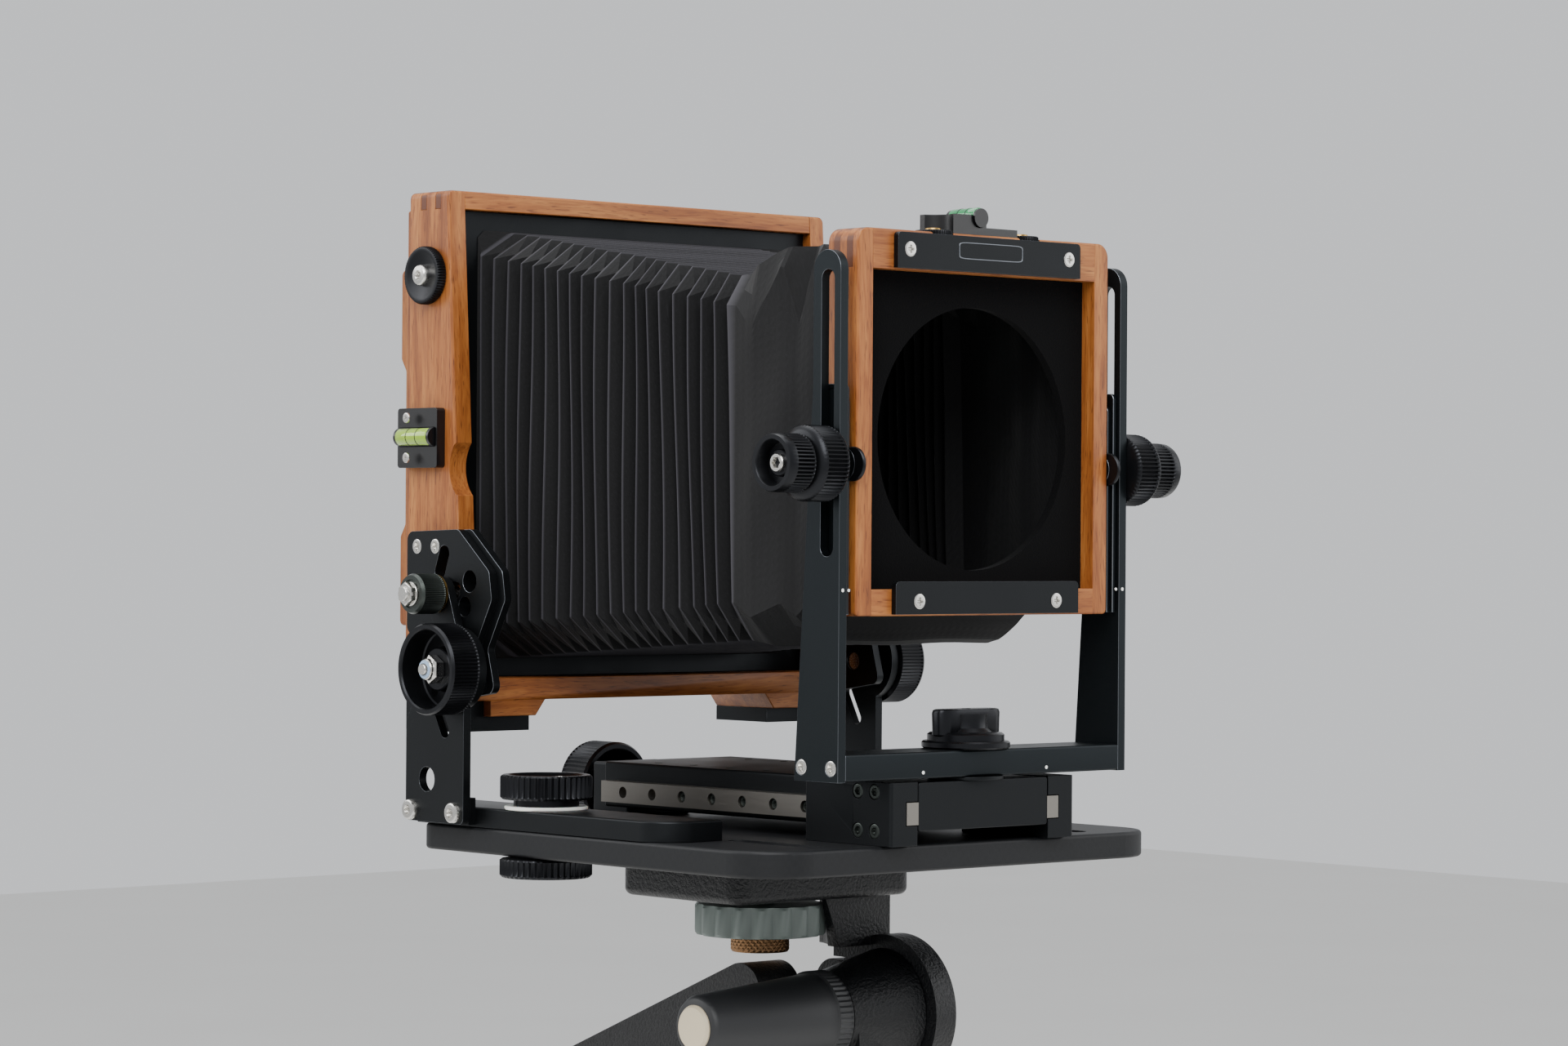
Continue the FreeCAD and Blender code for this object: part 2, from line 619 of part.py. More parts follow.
def board_plates():
    """The metal plates on the front frame that hold a lens panel at its top and bottom edges."""
    top = (OPEN_LOW + OPEN_H + 0.4, FRAME_TOP - 0.8)
    low = (FRAME_Z + 0.5, OPEN_LOW + 2.4)
    y = (-FACE_PLATE_T, 0)
    plates = []
    for z in (top, low):
        plate = box((-FACE_PLATE_HALF, FACE_PLATE_HALF), y, z)
        plate = rounded(plate, Y_AXIS, 1.5, lambda p: p.z > z[1] - 1)
        for x, height in FACE_SCREWS:
            for side in (-1, 1):
                plate = plate.cut(rod("y", (side * x, height), y, SCREW_HEAD_R))
        plates.append(plate)
    for side in (-1, 1):
        plates[0] = plates[0].cut(lock_pocket(side))
    return plates


def front_screws():
    heads = [rod("y", (x, z), (-FACE_PLATE_T - 0.1, 0), SCREW_HEAD_R) for x, z in FACE_SCREWS]
    return both(heads)


def lock_wheel(side):
    at = (side * LOCK_X, LOCK_Y)
    foot = FRAME_TOP - 2.0
    wheel = rod("z", at, (foot, foot + LOCK_T), LOCK_R)
    return [wheel.fuse(rod("z", at, (foot, foot + LOCK_T + 0.6), 2.0)).removeSplitter()]


def front_level():
    """The spirit level on top of the front frame: a block with a trough, and its vial."""
    left, step, right = TOP_LEVEL_X
    y = (0.6, FRAME_D - 0.4)
    base = box((left, right), y, (FRAME_TOP, FRAME_TOP + TOP_LEVEL_Z[0]))
    base = base.fuse(box((left, step), y, (FRAME_TOP, FRAME_TOP + TOP_LEVEL_Z[1]))).removeSplitter()
    base = rounded(base, Z_AXIS, 1.0)
    for side in (-1, 1):
        base = base.cut(lock_pocket(side))
    place = (TOP_VIAL[0], FRAME_TOP + TOP_VIAL[1])
    vial = rod("y", place, (y[0] - 0.8, y[1]), VIAL_R - 0.2)
    base = base.cut(rod("y", place, (y[0] - 1, y[1] + 1), VIAL_R))
    return [base, vial]


# ---------------------------------------------------------------- rear base

def rear_base_bars():
    bar = box(BAR_X, BAR_Y, (SLIP, BAR_T))
    bar = rounded(bar, Z_AXIS, BAR_CORNER, lambda p: p.y < BAR_Y[0] + 1 and p.x > CLAMP_X)
    bar = rim(bar, "Z", BAR_T, BAR_EDGE)
    bar = bar.cut(rod("z", (CLAMP_X, CLAMP_Y), (0, BAR_T), STUD_R + RUN))
    spacer = box((BAR_X[1], OUTER_PLATE_X[0]), (OUTER_Y[0] + 1, OUTER_Y[1] - 1), (0.8, BAR_T + 3))
    return both([bar, spacer])


def from_pivot(offset):
    """The (y, z) place at an offset from the rear tilt's pivot."""
    return (PIVOT[0] + offset[0], PIVOT[1] + offset[1])


def rear_lower_plates():
    """Upright plates on the rear base: they carry the rear standard's pivot and lock bolts."""
    x = OUTER_PLATE_X
    shoulders = [from_pivot(p) for p in ((25.6, -18.0), (13.5, 4.0), (-12.0, 0.0), (-5.3, -12.0))]
    plate = prism_x([(OUTER_Y[0], OUTER_LOW), (OUTER_Y[1], OUTER_LOW)] + shoulders, x)
    plate = rounded(plate, X_AXIS, 2.0, lambda p: p.z < PIVOT[1] - 8)
    plate = plate.fuse(rod("x", PIVOT, x, OUTER_ROUND)).fuse(slot_x(PIVOT, LOCK, LOCK_ROUND, x))
    plate = plate.removeSplitter()
    plate = plate.cut(rod("x", from_pivot(OUTER_HOLE[0]), x, OUTER_HOLE[1]))
    plate = plate.cut(slot_x(from_pivot(HOOK_SLOT[0]), from_pivot(HOOK_SLOT[1]), HOOK_SLOT[2], x))
    plate = plate.cut(rod("x", PIVOT, x, STUD_R)).cut(rod("x", LOCK, x, LOCK_BOLT_R))
    return pair(plate)


def hexagon_x(at, across, x):
    """A hexagonal nut along X."""
    corner = across / math.sqrt(3)
    turns = [math.radians(60 * i) for i in range(6)]
    return prism_x([(at[0] + corner * math.cos(t), at[1] + corner * math.sin(t)) for t in turns], x)


def rear_base_hardware():
    """Button screws, pivot bolts and lock bolts with their nuts."""
    outer = OUTER_PLATE_X[1]
    inner = BACK_HALF + 0.4
    parts = [rod("x", at, (outer, outer + BUTTON[1]), BUTTON[0]) for at in BASE_SCREWS]
    web = outer + GAP + PIVOT_WEB
    pivot = rod("x", PIVOT, (inner, web + 6.5), STUD_R)
    parts.append(pivot.fuse(hexagon_x(PIVOT, NUT_ACROSS[0], (web + GAP, web + 5.0))).removeSplitter())
    end = outer + GAP + LOCK_KNOB_T
    lock = rod("x", LOCK, (inner, end + 3.5), LOCK_BOLT_R)
    parts.append(lock.fuse(hexagon_x(LOCK, NUT_ACROSS[1], (end + 0.2, end + 2.6))).removeSplitter())
    return both(parts)


def clamp_knob():
    """Washer, upper knob and lower knob on one stud through the bed's slot."""
    at = (CLAMP_X, CLAMP_Y)
    foot = BAR_T + SLIP
    top = foot + WASHER_T
    neck = top + CLAMP_NECK[1]
    under_bed = -BED_T - CLAMP_LOW_GAP
    low = (under_bed - CLAMP_LOW_T, under_bed)
    washer = rod("z", at, (foot, top), WASHER_R)
    stud = rod("z", at, (low[0], neck + 1), STUD_R)
    collar = rod("z", at, (top, neck + 0.5), CLAMP_NECK[0])
    upper = rim(rod("z", at, (neck, neck + CLAMP_T), CLAMP_R), "Z", neck + CLAMP_T, KNOB_EDGE)
    lower = rim(rod("z", at, low, CLAMP_R), "Z", low[0], KNOB_EDGE)
    return [washer.multiFuse([stud, collar, upper, lower]).removeSplitter()]


def knob_blank(at, x, radius, edge):
    """A knob's cylinder along X with both its edges rounded."""
    knob = rod("x", at, x, radius)
    return knob.makeFillet(edge, [e for e in knob.Edges if e.BoundBox.XLength < 1e-6])


def pivot_knob():
    """A deep cupped knob on the pivot bolt, with round holes in its web."""
    x = (OUTER_PLATE_X[1] + GAP, OUTER_PLATE_X[1] + GAP + PIVOT_KNOB_T)
    web = x[0] + PIVOT_WEB
    knob = knob_blank(PIVOT, x, PIVOT_KNOB_R, KNOB_EDGE)
    knob = knob.cut(rod("x", PIVOT, (web, x[1]), PIVOT_KNOB_R - PIVOT_RIM))
    knob = knob.cut(rod("x", PIVOT, (x[0], web), STUD_R + RUN))
    count, reach, radius = PIVOT_HOLES
    for i in range(count):
        turn = 2 * math.pi * i / count + 0.35
        knob = knob.cut(rod("x", from_pivot((reach * math.cos(turn), reach * math.sin(turn))), x, radius))
    return [knob]


def rear_lock_knob():
    x = (OUTER_PLATE_X[1] + GAP, OUTER_PLATE_X[1] + GAP + LOCK_KNOB_T)
    return [knob_blank(LOCK, x, LOCK_KNOB_R, 0.5).cut(rod("x", LOCK, x, LOCK_BOLT_R + RUN))]


# ---------------------------------------------------------------- rear standard

def back_front(z):
    """Y of the rear frame's sloping front face at a height."""
    share = (BACK_TOP - z) / (BACK_TOP - BACK_FOOT)
    return BACK_FRONT[0] + share * (BACK_FRONT[1] - BACK_FRONT[0])


def rear_ring():
    """The rear wooden frame as one ring, before it is split at its finger joints."""
    outline = [(back_front(BACK_LOW), BACK_LOW), (back_front(BACK_TOP), BACK_TOP),
               (BACK_REAR, BACK_TOP), (BACK_REAR, BACK_LOW)]
    ring = prism_x(outline, (-BACK_HALF, BACK_HALF))
    ring = rounded(ring, Y_AXIS, BACK_CORNER, lambda p: p.z > NOTCH_Z)
    ring = rounded(ring, X_AXIS, BACK_EDGE, lambda p: p.z > NOTCH_Z)
    inner = BACK_HALF - STILE_W
    depth = (BACK_FRONT[1] - 5, BACK_REAR + 5)
    ring = ring.cut(box((-inner, inner), depth, (BACK_LOW + LOW_RAIL, BACK_TOP - TOP_RAIL)))
    radius = (NOTCH_CHORD ** 2 / 4 + NOTCH_DEPTH ** 2) / (2 * NOTCH_DEPTH)
    notch = (back_front(NOTCH_Z) - radius + NOTCH_DEPTH, NOTCH_Z)
    return ring.cut(rod("x", notch, (-BACK_HALF, BACK_HALF), radius))


def rear_rail_zones():
    """Where the rear rails are: between the stiles, and the top rail's fingers."""
    inner = BACK_HALF - STILE_W
    depth = (BACK_FRONT[1] - 5, BACK_REAR + 5)
    high = (BACK_TOP - TOP_RAIL, BACK_TOP)
    zones = [box((-inner, inner), depth, high)]
    zones.append(box((-inner, inner), depth, (BACK_LOW, BACK_LOW + LOW_RAIL)))
    zones += [box((-BACK_HALF, BACK_HALF), y, high) for y in BACK_FINGERS]
    return zones[0].multiFuse(zones[1:])


def rear_rails():
    """The top rail, and the bottom rail with its two feet."""
    rails = rear_ring().common(rear_rail_zones()).Solids
    low = min(rails, key=lambda s: s.BoundBox.ZMin)
    high = max(rails, key=lambda s: s.BoundBox.ZMin)
    y = (back_front(BACK_LOW), BACK_REAR)
    for side in (-1, 1):
        foot = [(side * (FOOT_X[0] - 4), BACK_LOW), (side * FOOT_X[0], BACK_FOOT),
                (side * FOOT_X[1], BACK_FOOT), (side * FOOT_X[1], BACK_LOW)]
        low = low.fuse(prism_y(foot, y))
    return [low.removeSplitter(), high]


def rear_stiles():
    return rear_ring().cut(rear_rail_zones()).Solids


def rear_brackets():
    """Two-layer side plates screwed to the rear frame, and the shoes under its feet."""
    parts = []
    for i in range(2):
        x = (BACK_HALF + SIDE_T * i, BACK_HALF + SIDE_T * (i + 1))
        step = BRACKET_STEP * (1 - i)
        outline = [from_pivot((y - (step if y < 4 else 0), z)) for y, z in BRACKET_OUTLINE]
        plate = rounded(prism_x(outline, x), X_AXIS, BRACKET_CORNER)
        plate = plate.cut(rod("x", PIVOT, x, STUD_R + RUN)).cut(lock_arc(x))
        start, end, radius = BRACKET_SLOT
        plate = plate.cut(slot_x(from_pivot(start), from_pivot(end), radius, x))
        for offset, radius in BRACKET_HOLES:
            plate = plate.cut(rod("x", from_pivot(offset), x, radius))
        if i == 1:
            for offset in BRACKET_SCREWS:
                plate = plate.cut(rod("x", from_pivot(offset), x, SCREW_HEAD_R))
        parts.append(plate)
    y = (SHOE_FRONT, BACK_REAR)
    shoe = box((FOOT_X[0], BACK_HALF), y, (BACK_FOOT - SHOE_T, BACK_FOOT))
    block = box((FOOT_X[1], BACK_HALF), y, (BACK_FOOT, BACK_LOW))
    parts.append(shoe.fuse(block).removeSplitter())
    return both(parts)


def lock_arc(x):
    """A curved slot around the pivot, so that the frame can tilt past the lock bolt."""
    dy, dz = LOCK[0] - PIVOT[0], LOCK[1] - PIVOT[1]
    reach = math.hypot(dy, dz)
    middle = math.degrees(math.atan2(dz, dy))
    room = LOCK_BOLT_R + GAP
    spread = REAR_TILT + 1
    ring = rod("x", PIVOT, x, reach + room).cut(rod("x", PIVOT, x, reach - room))
    far = 2 * reach
    ends = [math.radians(middle + s * spread) for s in (-1, 1)]
    rays = [(PIVOT[0] + far * math.cos(a), PIVOT[1] + far * math.sin(a)) for a in ends]
    arc = ring.common(prism_x([PIVOT] + rays, x))
    caps = []
    for a in ends:
        at = (PIVOT[0] + reach * math.cos(a), PIVOT[1] + reach * math.sin(a))
        caps.append(rod("x", at, x, room))
    return arc.multiFuse(caps)


def rear_frame_hardware():
    outer = BACK_HALF + 2 * SIDE_T
    heads = [rod("x", from_pivot(at), (outer - SIDE_T, outer + 0.1), SCREW_HEAD_R) for at in BRACKET_SCREWS]
    return both(heads)


def bellows_plate():
    """The black plate in the rear frame that the bellows are fixed to."""
    inner = BACK_HALF - STILE_W
    y = (BELLOWS_REAR_Y + 0.2, BELLOWS_REAR_Y + 0.2 + GATE_T)
    z = (BACK_LOW + LOW_RAIL, BACK_TOP - TOP_RAIL)
    plate = box((-inner, inner), y, z)
    return [plate.cut(box((-GATE_HALF, GATE_HALF), (y[0] - 1, y[1] + 1), GATE_Z))]


def side_level():
    """The spirit level on the left side of the rear frame: a block and its vial."""
    x = (-BACK_HALF - LEVEL_T, -BACK_HALF)
    block = rounded(box(x, LEVEL_Y, LEVEL_Z), X_AXIS, 1.2)
    place = (-BACK_HALF - 3.2, (LEVEL_Z[0] + LEVEL_Z[1]) / 2 + 0.3)
    block = block.cut(rod("y", place, (LEVEL_Y[0] + 0.9, LEVEL_Y[1] - 0.9), VIAL_R))
    vial = rod("y", place, (LEVEL_Y[0] + 1.2, LEVEL_Y[1] - 1.2), VIAL_R - 0.1)
    return [block, vial]


def back_lock():
    x = (-BACK_HALF - BACK_LOCK_T, -BACK_HALF - GAP)
    disc = rod("x", BACK_LOCK, x, BACK_LOCK_R)
    radius, height = BACK_LOCK_HEAD
    return [disc.fuse(rod("x", BACK_LOCK, (x[0] - height, x[0]), radius)).removeSplitter()]


# ---------------------------------------------------------------- film back

def ring_sticks(half, z, width, y):
    """A rectangular frame made of two stiles and two rails, butted at the corners."""
    sticks = [box((-half, -half + width), y, z), box((half - width, half), y, z)]
    for low in (z[0], z[1] - width):
        sticks.append(box((-half + width, half - width), y, (low, low + width)))
    return sticks


def back_frame():
    y = (BACK_REAR + 0.1, BACK_REAR + HOLDER_T)
    return ring_sticks(HOLDER_HALF, HOLDER_Z, HOLDER_W, y)


def glass_frame():
    """The ground glass frame: its stiles are thick at both ends and thin between."""
    y = BACK_REAR + HOLDER_T + 0.1
    low, high = GLASS_FRAME_Z
    thin, thick = y + GLASS_FRAME_T[0], y + GLASS_FRAME_T[1]
    outline = [(y, low), (thick, low), (thick, low + LUG_H), (thin, low + LUG_H + LUG_RAMP),
               (thin, high - LUG_H - LUG_RAMP), (thick, high - LUG_H), (thick, high), (y, high)]
    stile = prism_x(outline, (GLASS_HALF, GLASS_FRAME_HALF))
    stile = rounded(stile, X_AXIS, 2.0, lambda p: p.y > thin - 0.5)
    parts = pair(stile)
    for z in ((low, GLASS_Z[0]), (GLASS_Z[1], high)):
        parts.append(rounded(box((-GLASS_HALF, GLASS_HALF), (y, thick), z), X_AXIS, 1.2))
    return parts


def ground_glass():
    y = BACK_REAR + HOLDER_T + 0.3
    return [box((-GLASS_HALF, GLASS_HALF), (y, y + GLASS_T), GLASS_Z)]


def back_springs():
    """Leaf springs above and below the ground glass frame, with tabs over its rails."""
    y = BACK_REAR + HOLDER_T + 0.1
    over = y + GLASS_FRAME_T[1] + GAP
    parts = []
    for edge, way in ((GLASS_FRAME_Z[1], 1), (GLASS_FRAME_Z[0], -1)):
        near = edge + way * 1.2
        leaf = box((-SPRING_HALF, SPRING_HALF), (y, y + SPRING_T), (near, near + way * SPRING_W))
        riser = box((-TAB_HALF, TAB_HALF), (y, over + TAB_T), (near, near + way * TAB_T))
        tab = box((-TAB_HALF, TAB_HALF), (over, over + TAB_T), (near, edge - way * SPRING_W))
        parts.append(leaf.multiFuse([riser, tab]).removeSplitter())
    return parts


# ---------------------------------------------------------------- bellows

def bellows():
    """One plain tapering tube through the bellows' sections; the folds are not modelled here."""
    skins = []
    for inset in (0.0, BELLOWS_WALL):
        loops = []
        for y, half, low, high in BELLOWS:
            corners = [(-half + inset, low + inset), (half - inset, low + inset),
                       (half - inset, high - inset), (-half + inset, high - inset)]
            points = [FreeCAD.Vector(x, y, z) for x, z in corners]
            loops.append(Part.makePolygon(points + points[:1]))
        skins.append(Part.makeLoft(loops, True, True))
    return [skins[0].cut(skins[1])]


# ---------------------------------------------------------------- tripod head

def under(gap):
    """Height of the bed's underside less a distance."""
    return -BED_T - gap


def mounting_block():
    half, front, back, thick = BLOCK_UNDER
    block = box((-half, half), (front, back), (under(thick), under(0)))
    block = rounded(block, Z_AXIS, 1.5)
    return [block.cut(rod("z", (0, MOUNT_Y), (under(thick), under(0)), MOUNT_SCREW_R + RUN))]


def head_plate():
    """The head's top plate with its web and tilt flange, and the tilt shaft."""
    top = under(BLOCK_UNDER[3])
    low = top - HEAD_T
    plate = rounded(box((-HEAD_HALF, HEAD_HALF), HEAD_Y, (low, top)), Z_AXIS, HEAD_CORNER)
    plate = rim(plate, "Z", low, HEAD_EDGE)
    root, knee, tip = low + 3, TILT_Z + WEB_RISE, TILT_Z + FLANGE_R - 9
    web = [(7.0, root), (FLANGE_X[1], root), (FLANGE_X[1], tip), (FLANGE_X[0], tip),
           (FLANGE_X[0], knee), (15.0, knee)]
    casting = plate.fuse(prism_y(web, WEB_Y))
    wheel_room = (low + MOUNT_WHEEL_Z[0] - 8, low)
    casting = casting.cut(rod("z", (0, MOUNT_Y), wheel_room, MOUNT_WHEEL_R + 2 * GAP))
    flange = rod("x", (TILT_Y, TILT_Z), FLANGE_X, FLANGE_R).fuse(rod("x", ARM_ROOT, FLANGE_X, 9.0))
    shaft = rod("x", (TILT_Y, TILT_Z), (GRIP_X[1] - SHAFT_GRIP, FLANGE_X[0] + 1), SHAFT_R)
    casting = casting.multiFuse([flange, shaft]).removeSplitter()
    hole = rod("z", (0, MOUNT_Y), (low, top), MOUNT_SCREW_R + RUN)
    return [casting.cut(hole)]


def pan_base():
    """The turning base: a round foot, a neck and the conical barrel round the tilt shaft."""
    barrel = cone((TILT_Y, TILT_Z), BARREL_X, BARREL_R)
    foot_z = PAN_Z[1] - 1
    x = (BARREL_X[0] + 2, BARREL_X[1] - 3)
    middle = COLUMN_Y - 7
    sides = [(middle - NECK_HALF[0], foot_z), (middle + NECK_HALF[0], foot_z),
             (TILT_Y + NECK_HALF[1], TILT_Z), (TILT_Y - NECK_HALF[1], TILT_Z)]
    neck = prism_x(sides, x)
    gusset = box((-18, x[1]), (COLUMN_Y - 20, COLUMN_Y + 18), (foot_z, PAN_Z[1] + 6))
    foot = rim(rod("z", (0, COLUMN_Y), PAN_Z, PAN_R), "Z", PAN_Z[0], 1.5)
    base = foot.multiFuse([neck, gusset, barrel]).removeSplitter()
    base = base.cut(rod("x", (TILT_Y, TILT_Z), BARREL_X, SHAFT_R + RUN))
    spigot_room = (PAN_Z[0], PAN_Z[0] + SPIGOT[1] + 1)
    return [base.cut(rod("z", (0, COLUMN_Y), spigot_room, SPIGOT[0] + RUN))]


def tilt_grip():
    """The conical lock grip on the end of the tilt shaft, with its ribbed ring and end cap."""
    grip = cone((TILT_Y, TILT_Z), GRIP_X[:2], GRIP_R[:2])
    grip = grip.fuse(rod("x", (TILT_Y, TILT_Z), GRIP_X[1:], GRIP_R[2])).removeSplitter()
    shaft_room = (GRIP_X[1] - SHAFT_GRIP - 1, GRIP_X[2])
    grip = grip.cut(rod("x", (TILT_Y, TILT_Z), shaft_room, SHAFT_R + RUN))
    cap = rod("x", (TILT_Y, TILT_Z), (GRIP_X[0] - GRIP_CAP[1], GRIP_X[0]), GRIP_CAP[0])
    return [grip, cap]


def camera_screw():
    """The scalloped wheel and knurled end of the screw that holds the camera."""
    top = under(BLOCK_UNDER[3]) - HEAD_T
    z = (top + MOUNT_WHEEL_Z[0], top + MOUNT_WHEEL_Z[1])
    wheel = rim(rod("z", (0, MOUNT_Y), z, MOUNT_WHEEL_R), "Z", z[0], 1.0)
    shank = rod("z", (0, MOUNT_Y), (z[1], under(0.5)), MOUNT_SCREW_R)
    end = rod("z", (0, MOUNT_Y), (z[0] - MOUNT_STUD[1], z[0]), MOUNT_STUD[0])
    return [wheel.fuse(shank).removeSplitter(), end]


def pan_handle():
    """A cast arm of channel section that slopes down to a round hand grip."""
    slope = math.radians(ARM_DROP)
    way = (math.cos(slope), -math.sin(slope))
    up = (math.sin(slope), math.cos(slope))

    def at(run, rise):
        return (ARM_ROOT[0] + way[0] * run + up[0] * rise, ARM_ROOT[1] + way[1] * run + up[1] * rise)

    root, tip = ARM_H[0] / 2, ARM_H[1] / 2
    arm = prism_x([at(0, root), at(ARM_LEN, tip), at(ARM_LEN, -tip), at(0, -root)], ARM_X)
    run = (root + 4, ARM_LEN - HANDLE_OVERLAP - 8)
    channel = prism_x([at(run[0], root - ARM_WALL), at(run[1], tip - ARM_WALL + 1),
                       at(run[1], -tip - 5), at(run[0], -root - 5)], (ARM_X[0] + ARM_WALL, ARM_X[1] - ARM_WALL))
    arm = arm.cut(channel)
    boss = rod("x", ARM_ROOT, ARM_X, root)
    pin = rod("x", ARM_ROOT, (ARM_X[1] - 1, FLANGE_X[0]), ARM_PIN_R)
    foot = FreeCAD.Vector(sum(ARM_X) / 2, *at(ARM_LEN - HANDLE_OVERLAP, 0))
    grip = Part.makeCylinder(HANDLE_R, HANDLE_LEN, foot, FreeCAD.Vector(0, *way))
    far = [e for e in grip.Edges if e.CenterOfMass.y > foot.y + HANDLE_LEN * 0.8]
    grip = grip.makeFillet(HANDLE_EDGE, far)
    return [arm.multiFuse([boss, pin, grip]).removeSplitter()]


# ---------------------------------------------------------------- column, crown, legs

def center_column():
    column = rod("z", (0, COLUMN_Y), COLUMN_Z, COLUMN_R)
    column = column.cut(rod("z", (0, COLUMN_Y), (COLUMN_Z[0], COLUMN_Z[1] - 8), COLUMN_R - COLUMN_WALL))
    top = rod("z", (0, COLUMN_Y), (COLUMN_Z[1] - COLUMN_CAP[1], COLUMN_Z[1]), COLUMN_CAP[0])
    spigot = rod("z", (0, COLUMN_Y), (COLUMN_Z[1], PAN_Z[0] + SPIGOT[1]), SPIGOT[0])
    return [column.multiFuse([top, spigot]).removeSplitter()]


def outward(angle):
    """Turns a piece built towards +X so that it points out from the column at an angle."""
    return FreeCAD.Placement(FreeCAD.Vector(0, COLUMN_Y, 0), FreeCAD.Rotation(Z_AXIS, angle))


def placed(shape, placement):
    """A copy of a shape moved by a placement."""
    return shape.transformed(placement.toMatrix(), True)


def tripod_crown():
    """The collar round the column, three pairs of hinge lugs on it, and the hinge pins."""
    bore = rod("z", (0, COLUMN_Y), CROWN_Z, COLUMN_R + RUN)
    collar = rod("z", (0, COLUMN_Y), CROWN_Z, COLLAR_R)
    collar = rim(collar, "Z", CROWN_Z[1], 1.5)
    boss = rod("y", (0, COLUMN_KNOB_Z), (COLUMN_Y + COLUMN_R, COLUMN_Y + BOSS_END), BOSS_R)
    stud_way = (COLUMN_Y, COLUMN_Y + BOSS_END)
    collar = collar.fuse(boss).removeSplitter().cut(bore)
    collar = collar.cut(rod("y", (0, COLUMN_KNOB_Z), stud_way, STUD_R + RUN))
    inner = TONGUE_T / 2 + GAP
    outer = inner + LUG_T
    round_collar = rod("z", (0, 0), CROWN_Z, COLLAR_R)
    parts = [collar]
    for angle in LEG_ANGLES.values():
        for side in (-1, 1):
            y = (side * inner, side * outer)
            lug = box((COLUMN_R, HINGE_R), y, (HINGE_Z - LUG_R, HINGE_Z + LUG_R))
            lug = lug.fuse(rod("y", (HINGE_R, HINGE_Z), y, LUG_R)).removeSplitter()
            lug = lug.cut(rod("y", (HINGE_R, HINGE_Z), y, PIN_R)).cut(round_collar)
            parts.append(placed(lug, outward(angle)))
        pin = rod("y", (HINGE_R, HINGE_Z), (-outer - 1, outer + 1), PIN_R)
        parts.append(placed(pin, outward(angle)))
    return parts


def column_knob():
    y = (COLUMN_Y + BOSS_END + GAP, COLUMN_Y + COLUMN_KNOB_END)
    knob = rim(rod("y", (0, COLUMN_KNOB_Z), y, COLUMN_KNOB_R), "Y", y[1], 2.0)
    stud = rod("y", (0, COLUMN_KNOB_Z), (COLUMN_Y + COLUMN_R + 1, y[0] + 1), STUD_R)
    return [knob.fuse(stud).removeSplitter()]


def leg_way(angle):
    """Moves a leg built along -Z from its hinge to its open place under the crown."""
    tilt = FreeCAD.Placement(FreeCAD.Vector(HINGE_R, 0, HINGE_Z), FreeCAD.Rotation(Y_AXIS, -LEG_SPREAD))
    return outward(angle).multiply(tilt)


def floor_z():
    """Height of the floor under the open legs."""
    return HINGE_Z - LEG_REACH * math.cos(math.radians(LEG_SPREAD))


def leg_upper(angle):
    """Hinge casting, upper tube and clamp collar."""
    half = TONGUE_T / 2
    tongue = box((-8.5, 8.5), (-half, half), (-20, 0)).fuse(rod("y", (0, 0), (-half, half), 9.5))
    cap = rod("z", (0, 0), (-UPPER_START, -16), UPPER_R + 0.8)
    casting = tongue.fuse(cap).removeSplitter().cut(rod("y", (0, 0), (-half, half), PIN_R + RUN))
    tube = rod("z", (0, 0), (-UPPER_END, -UPPER_START), UPPER_R)
    tube = tube.cut(rod("z", (0, 0), (-UPPER_END, -UPPER_START), UPPER_R - UPPER_WALL))
    end = -UPPER_END - COLLAR_OVERHANG
    z = (end, end + COLLAR_LEN)
    collar = rod("z", (0, 0), z, UPPER_R + COLLAR_WALL)
    for height in z:
        collar = rim(collar, "Z", height, 1.2)
    collar = collar.cut(rod("z", (0, 0), (-UPPER_END, z[1]), UPPER_R))
    collar = collar.cut(rod("z", (0, 0), z, LOWER_R + RUN))
    return [placed(s, leg_way(angle)) for s in (casting, tube, collar)]


def leg_lower(angle):
    """Lower tube and its rubber foot, cut level with the floor."""
    end = LEG_REACH - 20
    tube = rod("z", (0, 0), (-end, -LOWER_START), LOWER_R)
    tube = tube.cut(rod("z", (0, 0), (-end, -LOWER_START), LOWER_R - LOWER_WALL))
    foot = rod("z", (0, 0), (-LEG_REACH - FOOT_LEN[0], -LEG_REACH + FOOT_LEN[1]), FOOT_R)
    foot = foot.cut(rod("z", (0, 0), (-end, -LEG_REACH + FOOT_LEN[1]), LOWER_R))
    tube, foot = [placed(s, leg_way(angle)) for s in (tube, foot)]
    reach = 2 * LEG_REACH
    ground = box((-reach, reach), (-reach, reach), (floor_z() - 60, floor_z()))
    return [tube, foot.cut(ground)]


# ---------------------------------------------------------------- nodes

